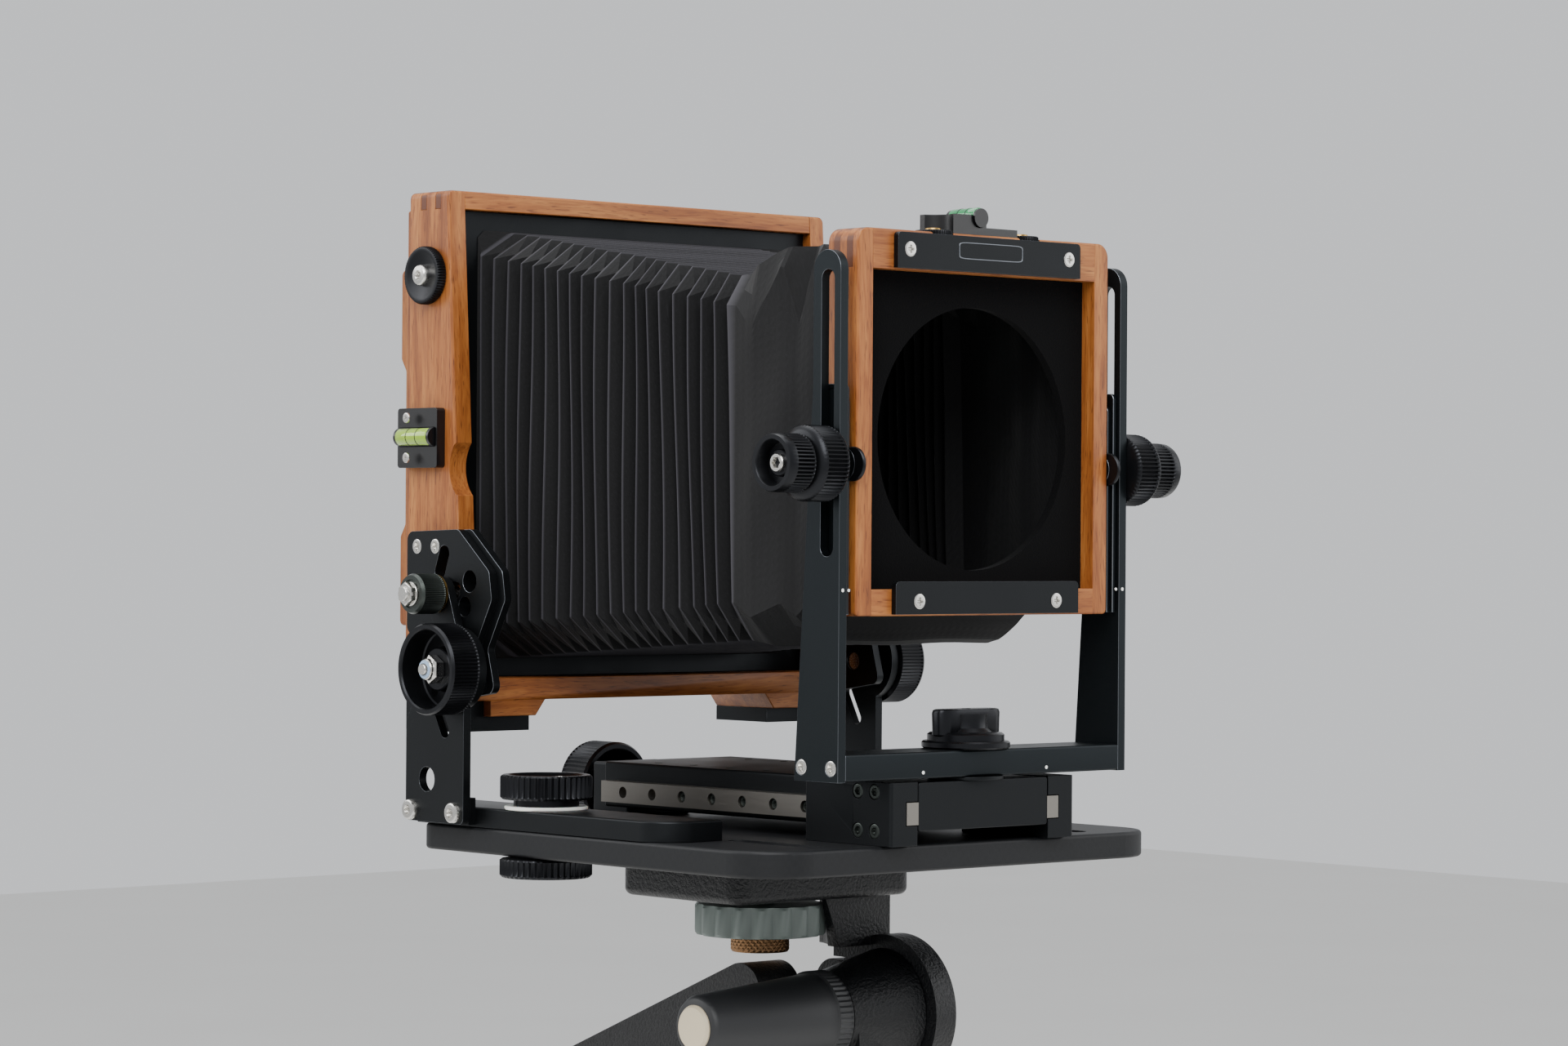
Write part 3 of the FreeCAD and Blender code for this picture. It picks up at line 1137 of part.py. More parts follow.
def nodes():
    """Every node's solids by name, in the working frame."""
    found = {
        "bed": bed(), "guide_blocks": guide_blocks(), "guide_screws": guide_screws(),
        "focus_beam": focus_beam(), "steel_rails": steel_rails(), "focus_wheel": focus_wheel(),
        "front_uprights": front_uprights(), "front_crossbar": front_crossbar(),
        "bracket_screws": bracket_screws(), "wing_knob": wing_knob(), "rise_plates": rise_plates(),
        "front_rails": front_rails(), "front_stiles": front_stiles(), "lens_board": lens_board(),
        "board_plates": board_plates(), "front_screws": front_screws(), "front_level": front_level(),
        "rear_base_bars": rear_base_bars(), "rear_lower_plates": rear_lower_plates(),
        "rear_base_hardware": rear_base_hardware(), "rear_rails": rear_rails(),
        "rear_stiles": rear_stiles(), "rear_brackets": rear_brackets(),
        "rear_frame_hardware": rear_frame_hardware(), "bellows_plate": bellows_plate(),
        "side_level": side_level(), "back_lock": back_lock(), "back_frame": back_frame(),
        "glass_frame": glass_frame(), "ground_glass": ground_glass(), "back_springs": back_springs(),
        "bellows": bellows(), "mounting_block": mounting_block(), "head_plate": head_plate(),
        "pan_base": pan_base(), "tilt_grip": tilt_grip(), "camera_screw": camera_screw(),
        "pan_handle": pan_handle(), "center_column": center_column(), "tripod_crown": tripod_crown(),
        "column_knob": column_knob(), "lock_wheel_left": lock_wheel(-1), "lock_wheel_right": lock_wheel(1),
    }
    sided = {"clamp_knob": clamp_knob(), "pivot_knob": pivot_knob(), "rear_lock": rear_lock_knob(),
             "rise_knob": rise_knob(), "tilt_knob": tilt_knob()}
    for name, solids in sided.items():
        found[name + "_right"] = solids
        found[name + "_left"] = [mirrored(s) for s in solids]
    for name, angle in LEG_ANGLES.items():
        found[f"leg_{name}_upper"] = leg_upper(angle)
        found[f"leg_{name}_lower"] = leg_lower(angle)
    return found


def base_shift(found):
    """The move that puts the origin under the middle of the whole object."""
    whole = FreeCAD.BoundBox()
    for solids in found.values():
        for solid in solids:
            whole.add(solid.optimalBoundingBox())
    return FreeCAD.Vector(-(whole.XMin + whole.XMax) / 2, -(whole.YMin + whole.YMax) / 2, -whole.ZMin)


NODES = nodes()
SHIFT = base_shift(NODES)
os.makedirs("parts", exist_ok=True)
for node, solids in NODES.items():
    for solid in solids:
        solid.translate(SHIFT)
    shape = solids[0] if len(solids) == 1 else Part.makeCompound(solids)
    shape.exportStep(f"parts/{node}.step")
print(len(NODES), "nodes, shift", [round(v, 3) for v in SHIFT])
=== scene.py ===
import json
import math

import bmesh
import bpy
import numpy as np
from mathutils import Matrix, Vector

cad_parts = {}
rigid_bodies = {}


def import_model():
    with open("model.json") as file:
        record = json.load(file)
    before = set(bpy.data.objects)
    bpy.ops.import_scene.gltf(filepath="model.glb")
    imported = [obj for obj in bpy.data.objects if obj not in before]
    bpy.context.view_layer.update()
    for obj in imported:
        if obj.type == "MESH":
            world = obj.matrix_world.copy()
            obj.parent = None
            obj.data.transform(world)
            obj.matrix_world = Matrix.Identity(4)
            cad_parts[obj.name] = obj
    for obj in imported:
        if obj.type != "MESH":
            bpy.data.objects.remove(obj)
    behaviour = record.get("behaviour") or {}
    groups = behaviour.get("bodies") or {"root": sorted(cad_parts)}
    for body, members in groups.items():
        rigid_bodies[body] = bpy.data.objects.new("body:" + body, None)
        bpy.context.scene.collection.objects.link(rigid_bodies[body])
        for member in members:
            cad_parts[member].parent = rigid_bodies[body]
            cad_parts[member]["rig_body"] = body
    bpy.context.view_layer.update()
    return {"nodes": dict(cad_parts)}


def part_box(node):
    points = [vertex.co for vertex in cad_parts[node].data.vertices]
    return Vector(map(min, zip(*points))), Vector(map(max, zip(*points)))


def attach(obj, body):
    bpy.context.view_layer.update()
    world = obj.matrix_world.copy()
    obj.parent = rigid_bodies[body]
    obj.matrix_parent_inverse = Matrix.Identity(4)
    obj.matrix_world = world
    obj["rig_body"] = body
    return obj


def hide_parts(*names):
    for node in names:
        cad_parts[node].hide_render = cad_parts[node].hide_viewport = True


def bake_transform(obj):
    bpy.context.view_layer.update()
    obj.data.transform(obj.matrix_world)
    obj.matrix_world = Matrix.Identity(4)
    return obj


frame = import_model()

# A wooden folding view camera on a pan and tilt head with a small tripod.
# Lengths in this file are in millimetres and become metres where a mesh is made.
# HOME is the middle of the bed's top face, under the front face of the front frame.

MM = 0.001
FRONT_LOW, FRONT_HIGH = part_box("front_rails")
HOME = np.array([0.0, FRONT_LOW.y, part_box("bed")[1].z])
X, Y, Z = np.eye(3)


def at(x, y, z):
    """A point given in millimetres from HOME, in the row frame in metres."""
    return HOME + np.array([x, y, z]) * MM


def span(node):
    """A CAD node's lowest and highest corner, in millimetres from HOME."""
    low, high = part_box(node)
    return (np.array(low) - HOME) / MM, (np.array(high) - HOME) / MM


# ---------------------------------------------------------------- materials

def linear(colour):
    """An sRGB hex colour as linear red, green, blue and alpha."""
    parts = [int(colour[i:i + 2], 16) / 255 for i in (1, 3, 5)]
    return tuple(c / 12.92 if c <= 0.04045 else ((c + 0.055) / 1.055) ** 2.4 for c in parts) + (1.0,)


def add(tree, kind, inputs=None, feeds=None, stops=(), **settings):
    """Adds a shader node, sets its properties, fills its inputs with values or links, feeds its outputs
    to the inputs of other nodes, and gives a colour ramp its (place, hex colour) stops."""
    made = tree.nodes.new("ShaderNode" + kind)
    for name, value in settings.items():
        setattr(made, name, value)
    for name, value in (inputs or {}).items():
        if isinstance(value, bpy.types.NodeSocket):
            tree.links.new(value, made.inputs[name])
        else:
            made.inputs[name].default_value = value
    for target, name, output in feeds or ():
        tree.links.new(made.outputs[output], target.inputs[name])
    points = made.color_ramp.elements if stops else ()
    while len(points) < len(stops):
        points.new(1.0)
    for point, (place, colour) in zip(points, stops):
        point.position = place
        point.color = linear(colour)
    return made


def start(name, colour, roughness, metallic=0.0, **sockets):
    """A new material, its tree, its shader and its Object coordinates."""
    material = bpy.data.materials.new(name)
    material.use_nodes = True
    tree = material.node_tree
    shader = tree.nodes["Principled BSDF"]
    plain = {"Base Color": linear(colour), "Roughness": roughness, "Metallic": metallic}
    plain.update({key.replace("_", " "): value for key, value in sockets.items()})
    for socket, value in plain.items():
        shader.inputs[socket].default_value = value
    return material, tree, shader, add(tree, "TexCoord").outputs["Object"]


def oiled_cherry(name, grain, split=0.0):
    """Oiled cherry: streaks 5 mm and fibres 0.7 mm wide run along the grain, with short dark pores,
    so the wood looks warm and fine; end grain drinks oil and looks darker.
    Past split from the middle the grain stands upright, as on a frame's stiles."""
    material, tree, shader, place = start(name, "#9a5d2e", 0.46, Coat_Weight=0.06, Coat_Roughness=0.4,
                                          Specular_IOR_Level=0.35)
    if split:
        x = add(tree, "SeparateXYZ", {"Vector": place}).outputs["X"]
        side = add(tree, "Math", {0: x}, operation="ABSOLUTE").outputs[0]
        stile = add(tree, "Math", {0: side, 1: split * MM}, operation="GREATER_THAN").outputs[0]
        turned = add(tree, "Mapping", {"Vector": place, "Rotation": (0, math.pi / 2, 0)}).outputs[0]
        place = add(tree, "Mix", {0: stile, 4: place, 5: turned}, data_type="VECTOR").outputs[1]
    stretch = [1.0, 1.0, 1.0]
    stretch[grain] = 1 / 14
    wander = add(tree, "TexNoise", {"Vector": place, "Scale": 1000 / 60.0, "Detail": 1.0})
    bent = add(tree, "VectorMath", {0: wander.outputs["Color"], 1: (6 * MM,) * 3}, operation="MULTIPLY")
    moved = add(tree, "VectorMath", {0: place, 1: bent.outputs[0]}, operation="ADD").outputs[0]
    along = add(tree, "Mapping", {"Vector": moved, "Scale": stretch}).outputs[0]
    streak = add(tree, "TexNoise", {"Vector": along, "Scale": 1000 / 5.0, "Detail": 5.0, "Roughness": 0.62})
    fibre = add(tree, "TexNoise", {"Vector": along, "Scale": 1000 / 0.7, "Detail": 2.0})
    pore = add(tree, "TexNoise", {"Vector": along, "Scale": 1000 / 0.45, "Detail": 1.0})
    tone = add(tree, "ValToRGB", {"Fac": streak.outputs["Fac"]}, stops=[
        (0.28, "#6e3a17"), (0.45, "#8f5223"), (0.58, "#a2642f"), (0.78, "#b2763b")]).outputs["Color"]
    fleck = add(tree, "ValToRGB", {"Fac": fibre.outputs["Fac"]},
                stops=[(0.3, "#c2a58f"), (0.55, "#ffffff")]).outputs["Color"]
    mixed = add(tree, "Mix", {0: 0.55, 6: tone, 7: fleck}, data_type="RGBA", blend_type="MULTIPLY").outputs[2]
    pores = add(tree, "ValToRGB", {"Fac": pore.outputs["Fac"]},
                stops=[(0.30, "#7d5a45"), (0.37, "#ffffff")]).outputs["Color"]
    mixed = add(tree, "Mix", {0: 0.6, 6: mixed, 7: pores}, data_type="RGBA", blend_type="MULTIPLY").outputs[2]
    facing = add(tree, "SeparateXYZ", {"Vector": tree.nodes["Texture Coordinate"].outputs["Normal"]})
    end = add(tree, "Math", {0: facing.outputs[grain]}, operation="ABSOLUTE").outputs[0]
    ending = add(tree, "MapRange", {"Value": end, "From Min": 0.75, "From Max": 0.95}).outputs[0]
    dark = add(tree, "Mix", {0: ending, 6: mixed, 7: linear("#552a12")}, data_type="RGBA").outputs[2]
    grained = add(tree, "Mix", {0: 0.75, 6: dark, 7: mixed}, data_type="RGBA").outputs[2] if split else dark
    tree.links.new(grained, shader.inputs["Base Color"])
    add(tree, "Bump", {"Height": fibre.outputs["Fac"], "Distance": 0.00006, "Strength": 0.5},
        [(shader, "Normal", 0)])
    return material


def blasted_anodised(name, colour, roughness):
    """Bead blasted, anodised aluminium: a 0.35 mm grit breaks the shine up into a soft, even sheen."""
    material, tree, shader, place = start(name, colour, roughness, 0.85)
    grain = add(tree, "TexNoise", {"Vector": place, "Scale": 1000 / 0.35, "Detail": 2.0})
    cloud = add(tree, "TexNoise", {"Vector": place, "Scale": 1000 / 18.0, "Detail": 3.0})
    add(tree, "MapRange", {"Value": cloud.outputs["Fac"], "To Min": roughness - 0.07,
                           "To Max": roughness + 0.08}, [(shader, "Roughness", 0)])
    add(tree, "Bump", {"Height": grain.outputs["Fac"], "Distance": 0.00005, "Strength": 0.55},
        [(shader, "Normal", 0)])
    return material


def turned_anodised(name, colour, roughness):
    """Turned and black anodised aluminium: satin, with handling wear that polishes it in clouds."""
    material, tree, shader, place = start(name, colour, roughness, 0.8)
    wear_and_highlight = add(tree, "TexNoise", {"Vector": place, "Scale": 1000 / 7.0, "Detail": 4.0})
    add(tree, "MapRange", {"Value": wear_and_highlight.outputs["Fac"], "To Min": roughness - 0.1,
                           "To Max": roughness + 0.1}, [(shader, "Roughness", 0)])
    lathe_mark = add(tree, "TexNoise", {"Vector": place, "Scale": 1000 / 0.4, "Detail": 1.0})
    add(tree, "Bump", {"Height": lathe_mark.outputs["Fac"], "Distance": 0.00003, "Strength": 0.3},
        [(shader, "Normal", 0)])
    return material


def brushed_steel(name, colour, roughness, along=None):
    """Ground or turned steel: hair lines 0.3 mm apart along the grinding, bright and slightly streaky."""
    material, tree, shader, place = start(name, colour, roughness, 1.0)
    stretch = [1.0, 1.0, 1.0]
    if along is not None:
        stretch[along] = 0.03
    lines = add(tree, "Mapping", {"Vector": place, "Scale": stretch}).outputs[0]
    hair = add(tree, "TexNoise", {"Vector": lines, "Scale": 1000 / 0.3, "Detail": 2.0})
    add(tree, "MapRange", {"Value": hair.outputs["Fac"], "To Min": roughness - 0.06,
                           "To Max": roughness + 0.12}, [(shader, "Roughness", 0)])
    add(tree, "Bump", {"Height": hair.outputs["Fac"], "Distance": 0.00003, "Strength": 0.35},
        [(shader, "Normal", 0)])
    return material


def carbon_laminate(name):
    """Moulded carbon plate with a matt face: a 2 mm weave only just shows under the resin."""
    material, tree, shader, place = start(name, "#121314", 0.5, Specular_IOR_Level=0.25)
    weave = add(tree, "TexChecker", {"Vector": place, "Scale": 1000 / 2.0,
                                     "Color1": linear("#111214"), "Color2": linear("#141517")})
    cloud = add(tree, "TexNoise", {"Vector": place, "Scale": 1000 / 1.2, "Detail": 4.0})
    add(tree, "Mix", {0: cloud.outputs["Fac"], 6: weave.outputs["Color"], 7: linear("#17181a")},
        [(shader, "Base Color", 2)], data_type="RGBA")
    add(tree, "Bump", {"Height": cloud.outputs["Fac"], "Distance": 0.00008, "Strength": 0.4},
        [(shader, "Normal", 0)])
    return material


def crinkle_paint(name, colour, roughness):
    """Crinkle paint on a casting: wrinkles 1.1 mm across with tiny glints on their tops."""
    material, tree, shader, place = start(name, colour, roughness, Specular_IOR_Level=0.3, Coat_Weight=0.06,
                                          Coat_Roughness=0.3)
    wrinkle = add(tree, "TexNoise", {"Vector": place, "Scale": 1000 / 1.1, "Detail": 3.0, "Roughness": 0.6})
    peaks = add(tree, "MapRange", {"Value": wrinkle.outputs["Fac"], "From Min": 0.35, "From Max": 0.65})
    add(tree, "Bump", {"Height": peaks.outputs[0], "Distance": 0.00022, "Strength": 0.8},
        [(shader, "Normal", 0)])
    return material


def pleated_cloth(name):
    """Coated bellows cloth: a plain weave whose threads are drawn 3.1 mm apart, ten times the real 0.3 mm,
    so that it shows; each folded ridge is painted a thin lighter grey line, a painted highlight where the crest
    catches the light, with some rubbing."""
    material, tree, shader, _ = start(name, "#08080a", 0.7, Sheen_Weight=0.05, Sheen_Roughness=0.5,
                                      Specular_IOR_Level=0.22)
    across = add(tree, "TexCoord").outputs["UV"]
    waves = 100.0       # a wave texture turns 20 radians in a unit, so one thread takes 2 pi / 20 / 100 m
    warp = add(tree, "TexWave", {"Vector": across, "Scale": waves, "Distortion": 0.4},
               bands_direction="X", wave_profile="SIN")
    weft = add(tree, "TexWave", {"Vector": across, "Scale": waves, "Distortion": 0.4},
               bands_direction="Y", wave_profile="SIN")
    weave = add(tree, "Math", {0: warp.outputs["Fac"], 1: weft.outputs["Fac"]}, operation="MULTIPLY").outputs[0]
    speck = add(tree, "TexNoise", {"Vector": across, "Scale": 1000 / 0.9, "Detail": 3.0})
    cloth = add(tree, "ValToRGB", {"Fac": speck.outputs["Fac"]},
                stops=[(0.3, "#060607"), (0.6, "#0b0b0d"), (0.75, "#131316")]).outputs["Color"]
    # painted highlight with some rubbing: each ridge is drawn a lighter grey from this attribute
    ridge_rub_and_highlight = add(tree, "Attribute", attribute_name="ridge_rub_and_highlight").outputs["Fac"]
    add(tree, "Mix", {0: ridge_rub_and_highlight, 6: cloth, 7: linear("#353439")}, [(shader, "Base Color", 2)], data_type="RGBA")
    add(tree, "Bump", {"Height": weave, "Distance": 0.00008, "Strength": 0.5}, [(shader, "Normal", 0)])
    return material


def flocked(name):
    """Black flock: short fibres 0.4 mm apart that swallow light, with a faint edge sheen."""
    material, tree, shader, place = start(name, "#020203", 0.95, Specular_IOR_Level=0.03, Sheen_Weight=0.03,
                                          Sheen_Roughness=0.6)
    fibre = add(tree, "TexNoise", {"Vector": place, "Scale": 1000 / 0.4, "Detail": 2.0})
    add(tree, "Bump", {"Height": fibre.outputs["Fac"], "Distance": 0.0002, "Strength": 0.7},
        [(shader, "Normal", 0)])
    return material


def moulded(name, colour, roughness, grain=0.8, depth=0.03, **sockets):
    """Moulded plastic or rubber with a fine spark-eroded grain that scatters its shine."""
    material, tree, shader, place = start(name, colour, roughness, **sockets)
    texture = add(tree, "TexNoise", {"Vector": place, "Scale": 1000 / grain, "Detail": 3.0})
    add(tree, "Bump", {"Height": texture.outputs["Fac"], "Distance": depth * MM, "Strength": 0.6},
        [(shader, "Normal", 0)])
    return material


def spirit(name, deep, pale):
    """Green level fluid in its acrylic vial: clear, saturated and glossy."""
    material, tree, shader, place = start(name, deep, 0.06, Transmission_Weight=0.4, IOR=1.42,
                                          Coat_Weight=0.6, Coat_Roughness=0.03)
    cloud = add(tree, "TexNoise", {"Vector": place, "Scale": 1000 / 6.0})
    add(tree, "Mix", {0: cloud.outputs["Fac"], 6: linear(deep), 7: linear(pale)},
        [(shader, "Base Color", 2)], data_type="RGBA")
    return material


def ground_screen(name):
    """Finely ground glass: milky, with a grain of 0.3 mm that scatters what passes through it."""
    material, tree, shader, place = start(name, "#e6ecec", 0.55, Transmission_Weight=0.6, IOR=1.5)
    grain = add(tree, "TexNoise", {"Vector": place, "Scale": 1000 / 0.3, "Detail": 2.0})
    add(tree, "Bump", {"Height": grain.outputs["Fac"], "Distance": 0.00004, "Strength": 0.5},
        [(shader, "Normal", 0)])
    return material


def worn_paint(name):
    """Crinkle paint rubbed through to bare metal along the edges of the head's plate."""
    material, tree, shader, place = start(name, "#17181b", 0.45)
    wrinkle = add(tree, "TexNoise", {"Vector": place, "Scale": 1000 / 1.1, "Detail": 3.0})
    wear_and_highlight = add(tree, "TexNoise", {"Vector": place, "Scale": 1000 / 5.0, "Detail": 6.0, "Roughness": 0.75})
    bare = add(tree, "MapRange", {"Value": wear_and_highlight.outputs["Fac"], "From Min": 0.60, "From Max": 0.64}).outputs[0]
    add(tree, "Mix", {0: bare, 6: linear("#17181b"), 7: linear("#a7a49c")}, [(shader, "Base Color", 2)],
        data_type="RGBA")
    tree.links.new(bare, shader.inputs["Metallic"])
    add(tree, "Bump", {"Height": wrinkle.outputs["Fac"], "Distance": 0.0002, "Strength": 0.6},
        [(shader, "Normal", 0)])
    return material


CHERRY_ACROSS = oiled_cherry("oiled_cherry_rail", 0)
CHERRY_UPRIGHT = oiled_cherry("oiled_cherry_stile", 2)
CHERRY_BACK = oiled_cherry("oiled_cherry_back", 0, 64.0)
CHERRY_GLASS = oiled_cherry("oiled_cherry_glass_frame", 0, 61.0)
ANODISED = blasted_anodised("bead_blasted_anodised", "#1c1e20", 0.42)
ANODISED_BLUE = blasted_anodised("bead_blasted_upright", "#1c2124", 0.42)
CHAMFER = brushed_steel("diamond_cut_chamfer", "#72767c", 0.3)
KNOB = turned_anodised("turned_black_knob", "#1e1f22", 0.32)
KNOB_GREY = turned_anodised("turned_grey_knob", "#3d423f", 0.34)
STEEL = brushed_steel("turned_stainless", "#c9c7c2", 0.22)
RAIL = brushed_steel("ground_guide_rail", "#85817b", 0.36, 1)
BRASS = brushed_steel("turned_brass", "#b08d4f", 0.28)
CARBON = carbon_laminate("matt_carbon_plate")
CAST = crinkle_paint("crinkle_painted_casting", "#0d0e10", 0.36)
WORN_CAST = worn_paint("rubbed_crinkle_paint")
CLOTH = pleated_cloth("coated_bellows_cloth")
# Black flock for the lens board; the same material also makes the black discs that stand for holes, as painted
# shade.
FLOCK_AND_HOLE_SHADE = flocked("black_flock_and_painted_hole_shade")
NYLON = moulded("white_nylon", "#e9e8e2", 0.4, Subsurface_Weight=0.15, Subsurface_Scale=0.002)
BLUE_NYLON = moulded("blue_nylon_insert", "#93abc6", 0.45)
RUBBER = moulded("moulded_rubber_grip", "#1d1e20", 0.5, 1.0, 0.05)
FOOT_RUBBER = moulded("rubber_foot", "#161617", 0.7, 0.9, 0.08)
BEIGE = moulded("beige_end_cap", "#cdbfa3", 0.45)
GREY_GREEN = moulded("grey_green_plastic", "#6d7773", 0.48)
BRONZE = brushed_steel("bronze_knurled_stud", "#8a6a4c", 0.38)
LEVEL_BLOCK = moulded("black_level_block", "#08080a", 0.32, 0.6, 0.02)
VIAL = spirit("yellow_green_level_vial", "#9bcf12", "#c3e64a")
GREEN_VIAL = spirit("deep_green_level_vial", "#13894a", "#2fb56c")
MARK = moulded("painted_white_dot", "#f2f2ee", 0.5)
SCREEN = ground_screen("fine_ground_glass")
SPRING = turned_anodised("blackened_spring", "#2c2d30", 0.4)
TUBE = turned_anodised("satin_black_tube", "#2f3136", 0.32)
SLOTS = {STEEL.name: "stainless", KNOB.name: "knob_black"}     # a finish's slot where a piece names none
SIDES = (("left", -1), ("right", 1))


# ---------------------------------------------------------------- making pieces

def put(name, verts, faces, material, body, slot=None, replaces=(), sharp=35.0):
    """Makes a piece from points in the row frame, turns its faces outwards and gives it to its body."""
    mesh = bpy.data.meshes.new(name)
    mesh.from_pydata(np.asarray(verts).tolist(), [], faces)
    made = bmesh.new()
    made.from_mesh(mesh)
    if made.calc_volume(signed=True) < 0:
        bmesh.ops.reverse_faces(made, faces=made.faces)
    made.to_mesh(mesh)
    made.free()
    mesh.shade_smooth()
    mesh.set_sharp_from_angle(angle=math.radians(sharp))
    piece = bpy.data.objects.new(name, mesh)
    bpy.context.scene.collection.objects.link(piece)
    mesh.materials.append(material)
    if body:
        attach(piece, body)
    if replaces:
        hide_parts(*replaces)
    slot = slot or SLOTS.get(material.name)
    return piece


def grid_faces(rows, columns, wrap_rows=False):
    """Quads over a grid whose columns close round, and whose rows may too."""
    r = np.arange(rows if wrap_rows else rows - 1)[:, None]
    c = np.arange(columns)[None, :]
    a, b = r * columns + c, r * columns + (c + 1) % columns
    down = (r + 1) % rows
    return np.stack([a, b, down * columns + (c + 1) % columns, down * columns + c], -1).reshape(-1, 4).tolist()


def capped(rings, poles):
    """Points and faces of a stack of rings, closed at either end by a fan to a pole."""
    rows, columns = rings.shape[:2]
    here = np.arange(columns)
    ahead, last = (here + 1) % columns, (rows - 1) * columns
    foot = np.full(columns, rows * columns)
    fans = np.stack([np.stack([foot, ahead, here], -1), np.stack([foot + 1, last + here, last + ahead], -1)], 1)
    return np.vstack([rings.reshape(-1, 3), poles]), grid_faces(rows, columns) + fans.reshape(-1, 3).tolist()


def across(axis):
    """Two directions square to an axis and to each other."""
    other = Z if abs(np.dot(axis, Z)) < 0.9 else X
    u = np.cross(other, axis)
    u /= np.linalg.norm(u)
    return u, np.cross(axis, u)


def pressed(kind, size, depth, x, y):
    """How deep a screw's cross or hexagon socket is at places on its head, with soft edges."""
    if kind == "cross":
        slot = np.minimum(np.abs(x), np.abs(y)) - size * 0.16
        reach = np.maximum(np.abs(x), np.abs(y)) - size * 0.62
        away = np.maximum(slot, reach)
    else:
        third = np.sqrt(3) / 2
        away = np.maximum(np.abs(y), np.maximum(np.abs(third * x + y / 2), np.abs(third * x - y / 2))) - size
    return depth * np.clip(0.5 - away / 0.12, 0, 1)


def lathe(name, body, material, foot, axis, profile, teeth=0, cut=0.0, power=1.0, columns=72, sides=0,
          socket=None, ring=False, **more):
    """A turned piece. Rows of (radius, height, share) sweep once round the axis from foot.
    Where share is 1 the radius loses cut times ((1 - cos(teeth * angle)) / 2) to a power, which knurls it,
    or, for a number of sides, grows to that polygon. Each tooth has six columns. A socket (kind, size,
    depth) is pressed into the top, and a ring closes from its last row to its first."""
    axis = np.asarray(axis, float)
    u, v = across(axis)
    columns = teeth * 6 or columns
    rows = np.array([tuple(p) + (0.0,) * (3 - len(p)) for p in profile])
    angle = np.arange(columns) / columns * 2 * np.pi
    radius, height, share = (rows[:, i][:, None] for i in range(3))
    r = radius - cut * share * ((1 - np.cos(teeth * angle[None, :])) / 2) ** power
    if sides:
        step = 2 * np.pi / sides
        corner = 1 / np.cos((angle + step / 2) % step - step / 2)
        r = radius * (1 + share * (corner[None, :] - 1))
    h = np.broadcast_to(height, r.shape)
    if socket:
        kind, size, depth = socket
        top = height > rows[:, 1].max() - 1.2
        h = h - top * pressed(kind, size, depth, r * np.cos(angle), r * np.sin(angle))
    points = (np.asarray(foot) + MM * (r[..., None] * (np.cos(angle)[:, None] * u + np.sin(angle)[:, None] * v)
                                      + h[..., None] * axis))
    if ring:
        return put(name, points.reshape(-1, 3), grid_faces(len(rows), columns, True), material, body, **more)
    verts, faces = capped(points[1:-1], [points[0].mean(0), points[-1].mean(0)])
    return put(name, verts, faces, material, body, **more)


def islands(node):
    """The box of each separate solid in a CAD node, in millimetres from HOME."""
    made = bmesh.new()
    made.from_mesh(frame["nodes"][node].data)
    bmesh.ops.remove_doubles(made, verts=made.verts, dist=1e-6)
    left, boxes = set(made.verts), []
    while left:
        group, todo = [], [left.pop()]
        while todo:
            vert = todo.pop()
            group.append(tuple(vert.co))
            for edge in vert.link_edges:
                other = edge.other_vert(vert)
                if other in left:
                    left.remove(other)
                    todo.append(other)
        points = (np.array(group) - HOME) / MM
        boxes.append((points.min(0), points.max(0)))
    made.free()
    return sorted(boxes, key=lambda b: tuple(np.round(b[0], 1)))


def dressed(node, material, bevel=0.3, edge=None, name=None, angle=32.0):
    """A copy of a CAD node that stands for it, merged, with its sharp edges cut to a narrow chamfer."""
    source = frame["nodes"][node]
    made = bmesh.new()
    made.from_mesh(source.data)
    bmesh.ops.remove_doubles(made, verts=made.verts, dist=1e-6)
    bmesh.ops.dissolve_limit(made, angle_limit=math.radians(0.6), verts=made.verts, edges=made.edges)
    mesh = bpy.data.meshes.new(name or node + "_dressed")
    made.to_mesh(mesh)
    made.free()
    mesh.shade_smooth()
    mesh.set_sharp_from_angle(angle=math.radians(angle))
    mesh.materials.append(material)
    mesh.materials.append(edge or material)
    piece = bpy.data.objects.new(mesh.name, mesh)
    bpy.context.scene.collection.objects.link(piece)
    chamfer = piece.modifiers.new("chamfer", "BEVEL")
    chamfer.width = bevel * MM
    chamfer.segments = 2
    chamfer.limit_method = "ANGLE"
    chamfer.angle_limit = math.radians(angle)
    chamfer.material = 1
    chamfer.miter_outer = "MITER_ARC"
    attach(piece, source["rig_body"])
    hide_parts(node)
    return piece


def painted(node, material):
    """A CAD node whose shape is right as it is, in its finish."""
    source = frame["nodes"][node]
    source.data.materials.clear()
    source.data.materials.append(material)


# ---------------------------------------------------------------- turned pieces

def screw_head(name, body, foot, axis, radius, rise, socket, material=STEEL, **more):
    """A screw's head: a shallow dome with its socket, down to the surface that it sits on."""
    rows = [(0, -0.2), (radius, -0.2), (radius, rise * 0.45), (radius * 0.93, rise * 0.8)]
    rows += [(radius * k, rise * (1 - 0.12 * k)) for k in np.linspace(0.85, 0.08, 9)] + [(0, rise)]
    lathe(name, body, material, foot, axis, rows, socket=socket, columns=48, slot="stainless", **more)


def sideways(node):
    """A side piece's inner and outer distance from the middle plane, its centre and its radius."""
    low, high = span(node)
    inner, outer = sorted((abs(low[0]), abs(high[0])))
    return inner, outer, (low + high) / 2, (high[2] - low[2]) / 2


def beside(way, x, centre):
    """The point on a side piece's own axis at a distance x from the middle plane."""
    return at(way * x, centre[1], centre[2])


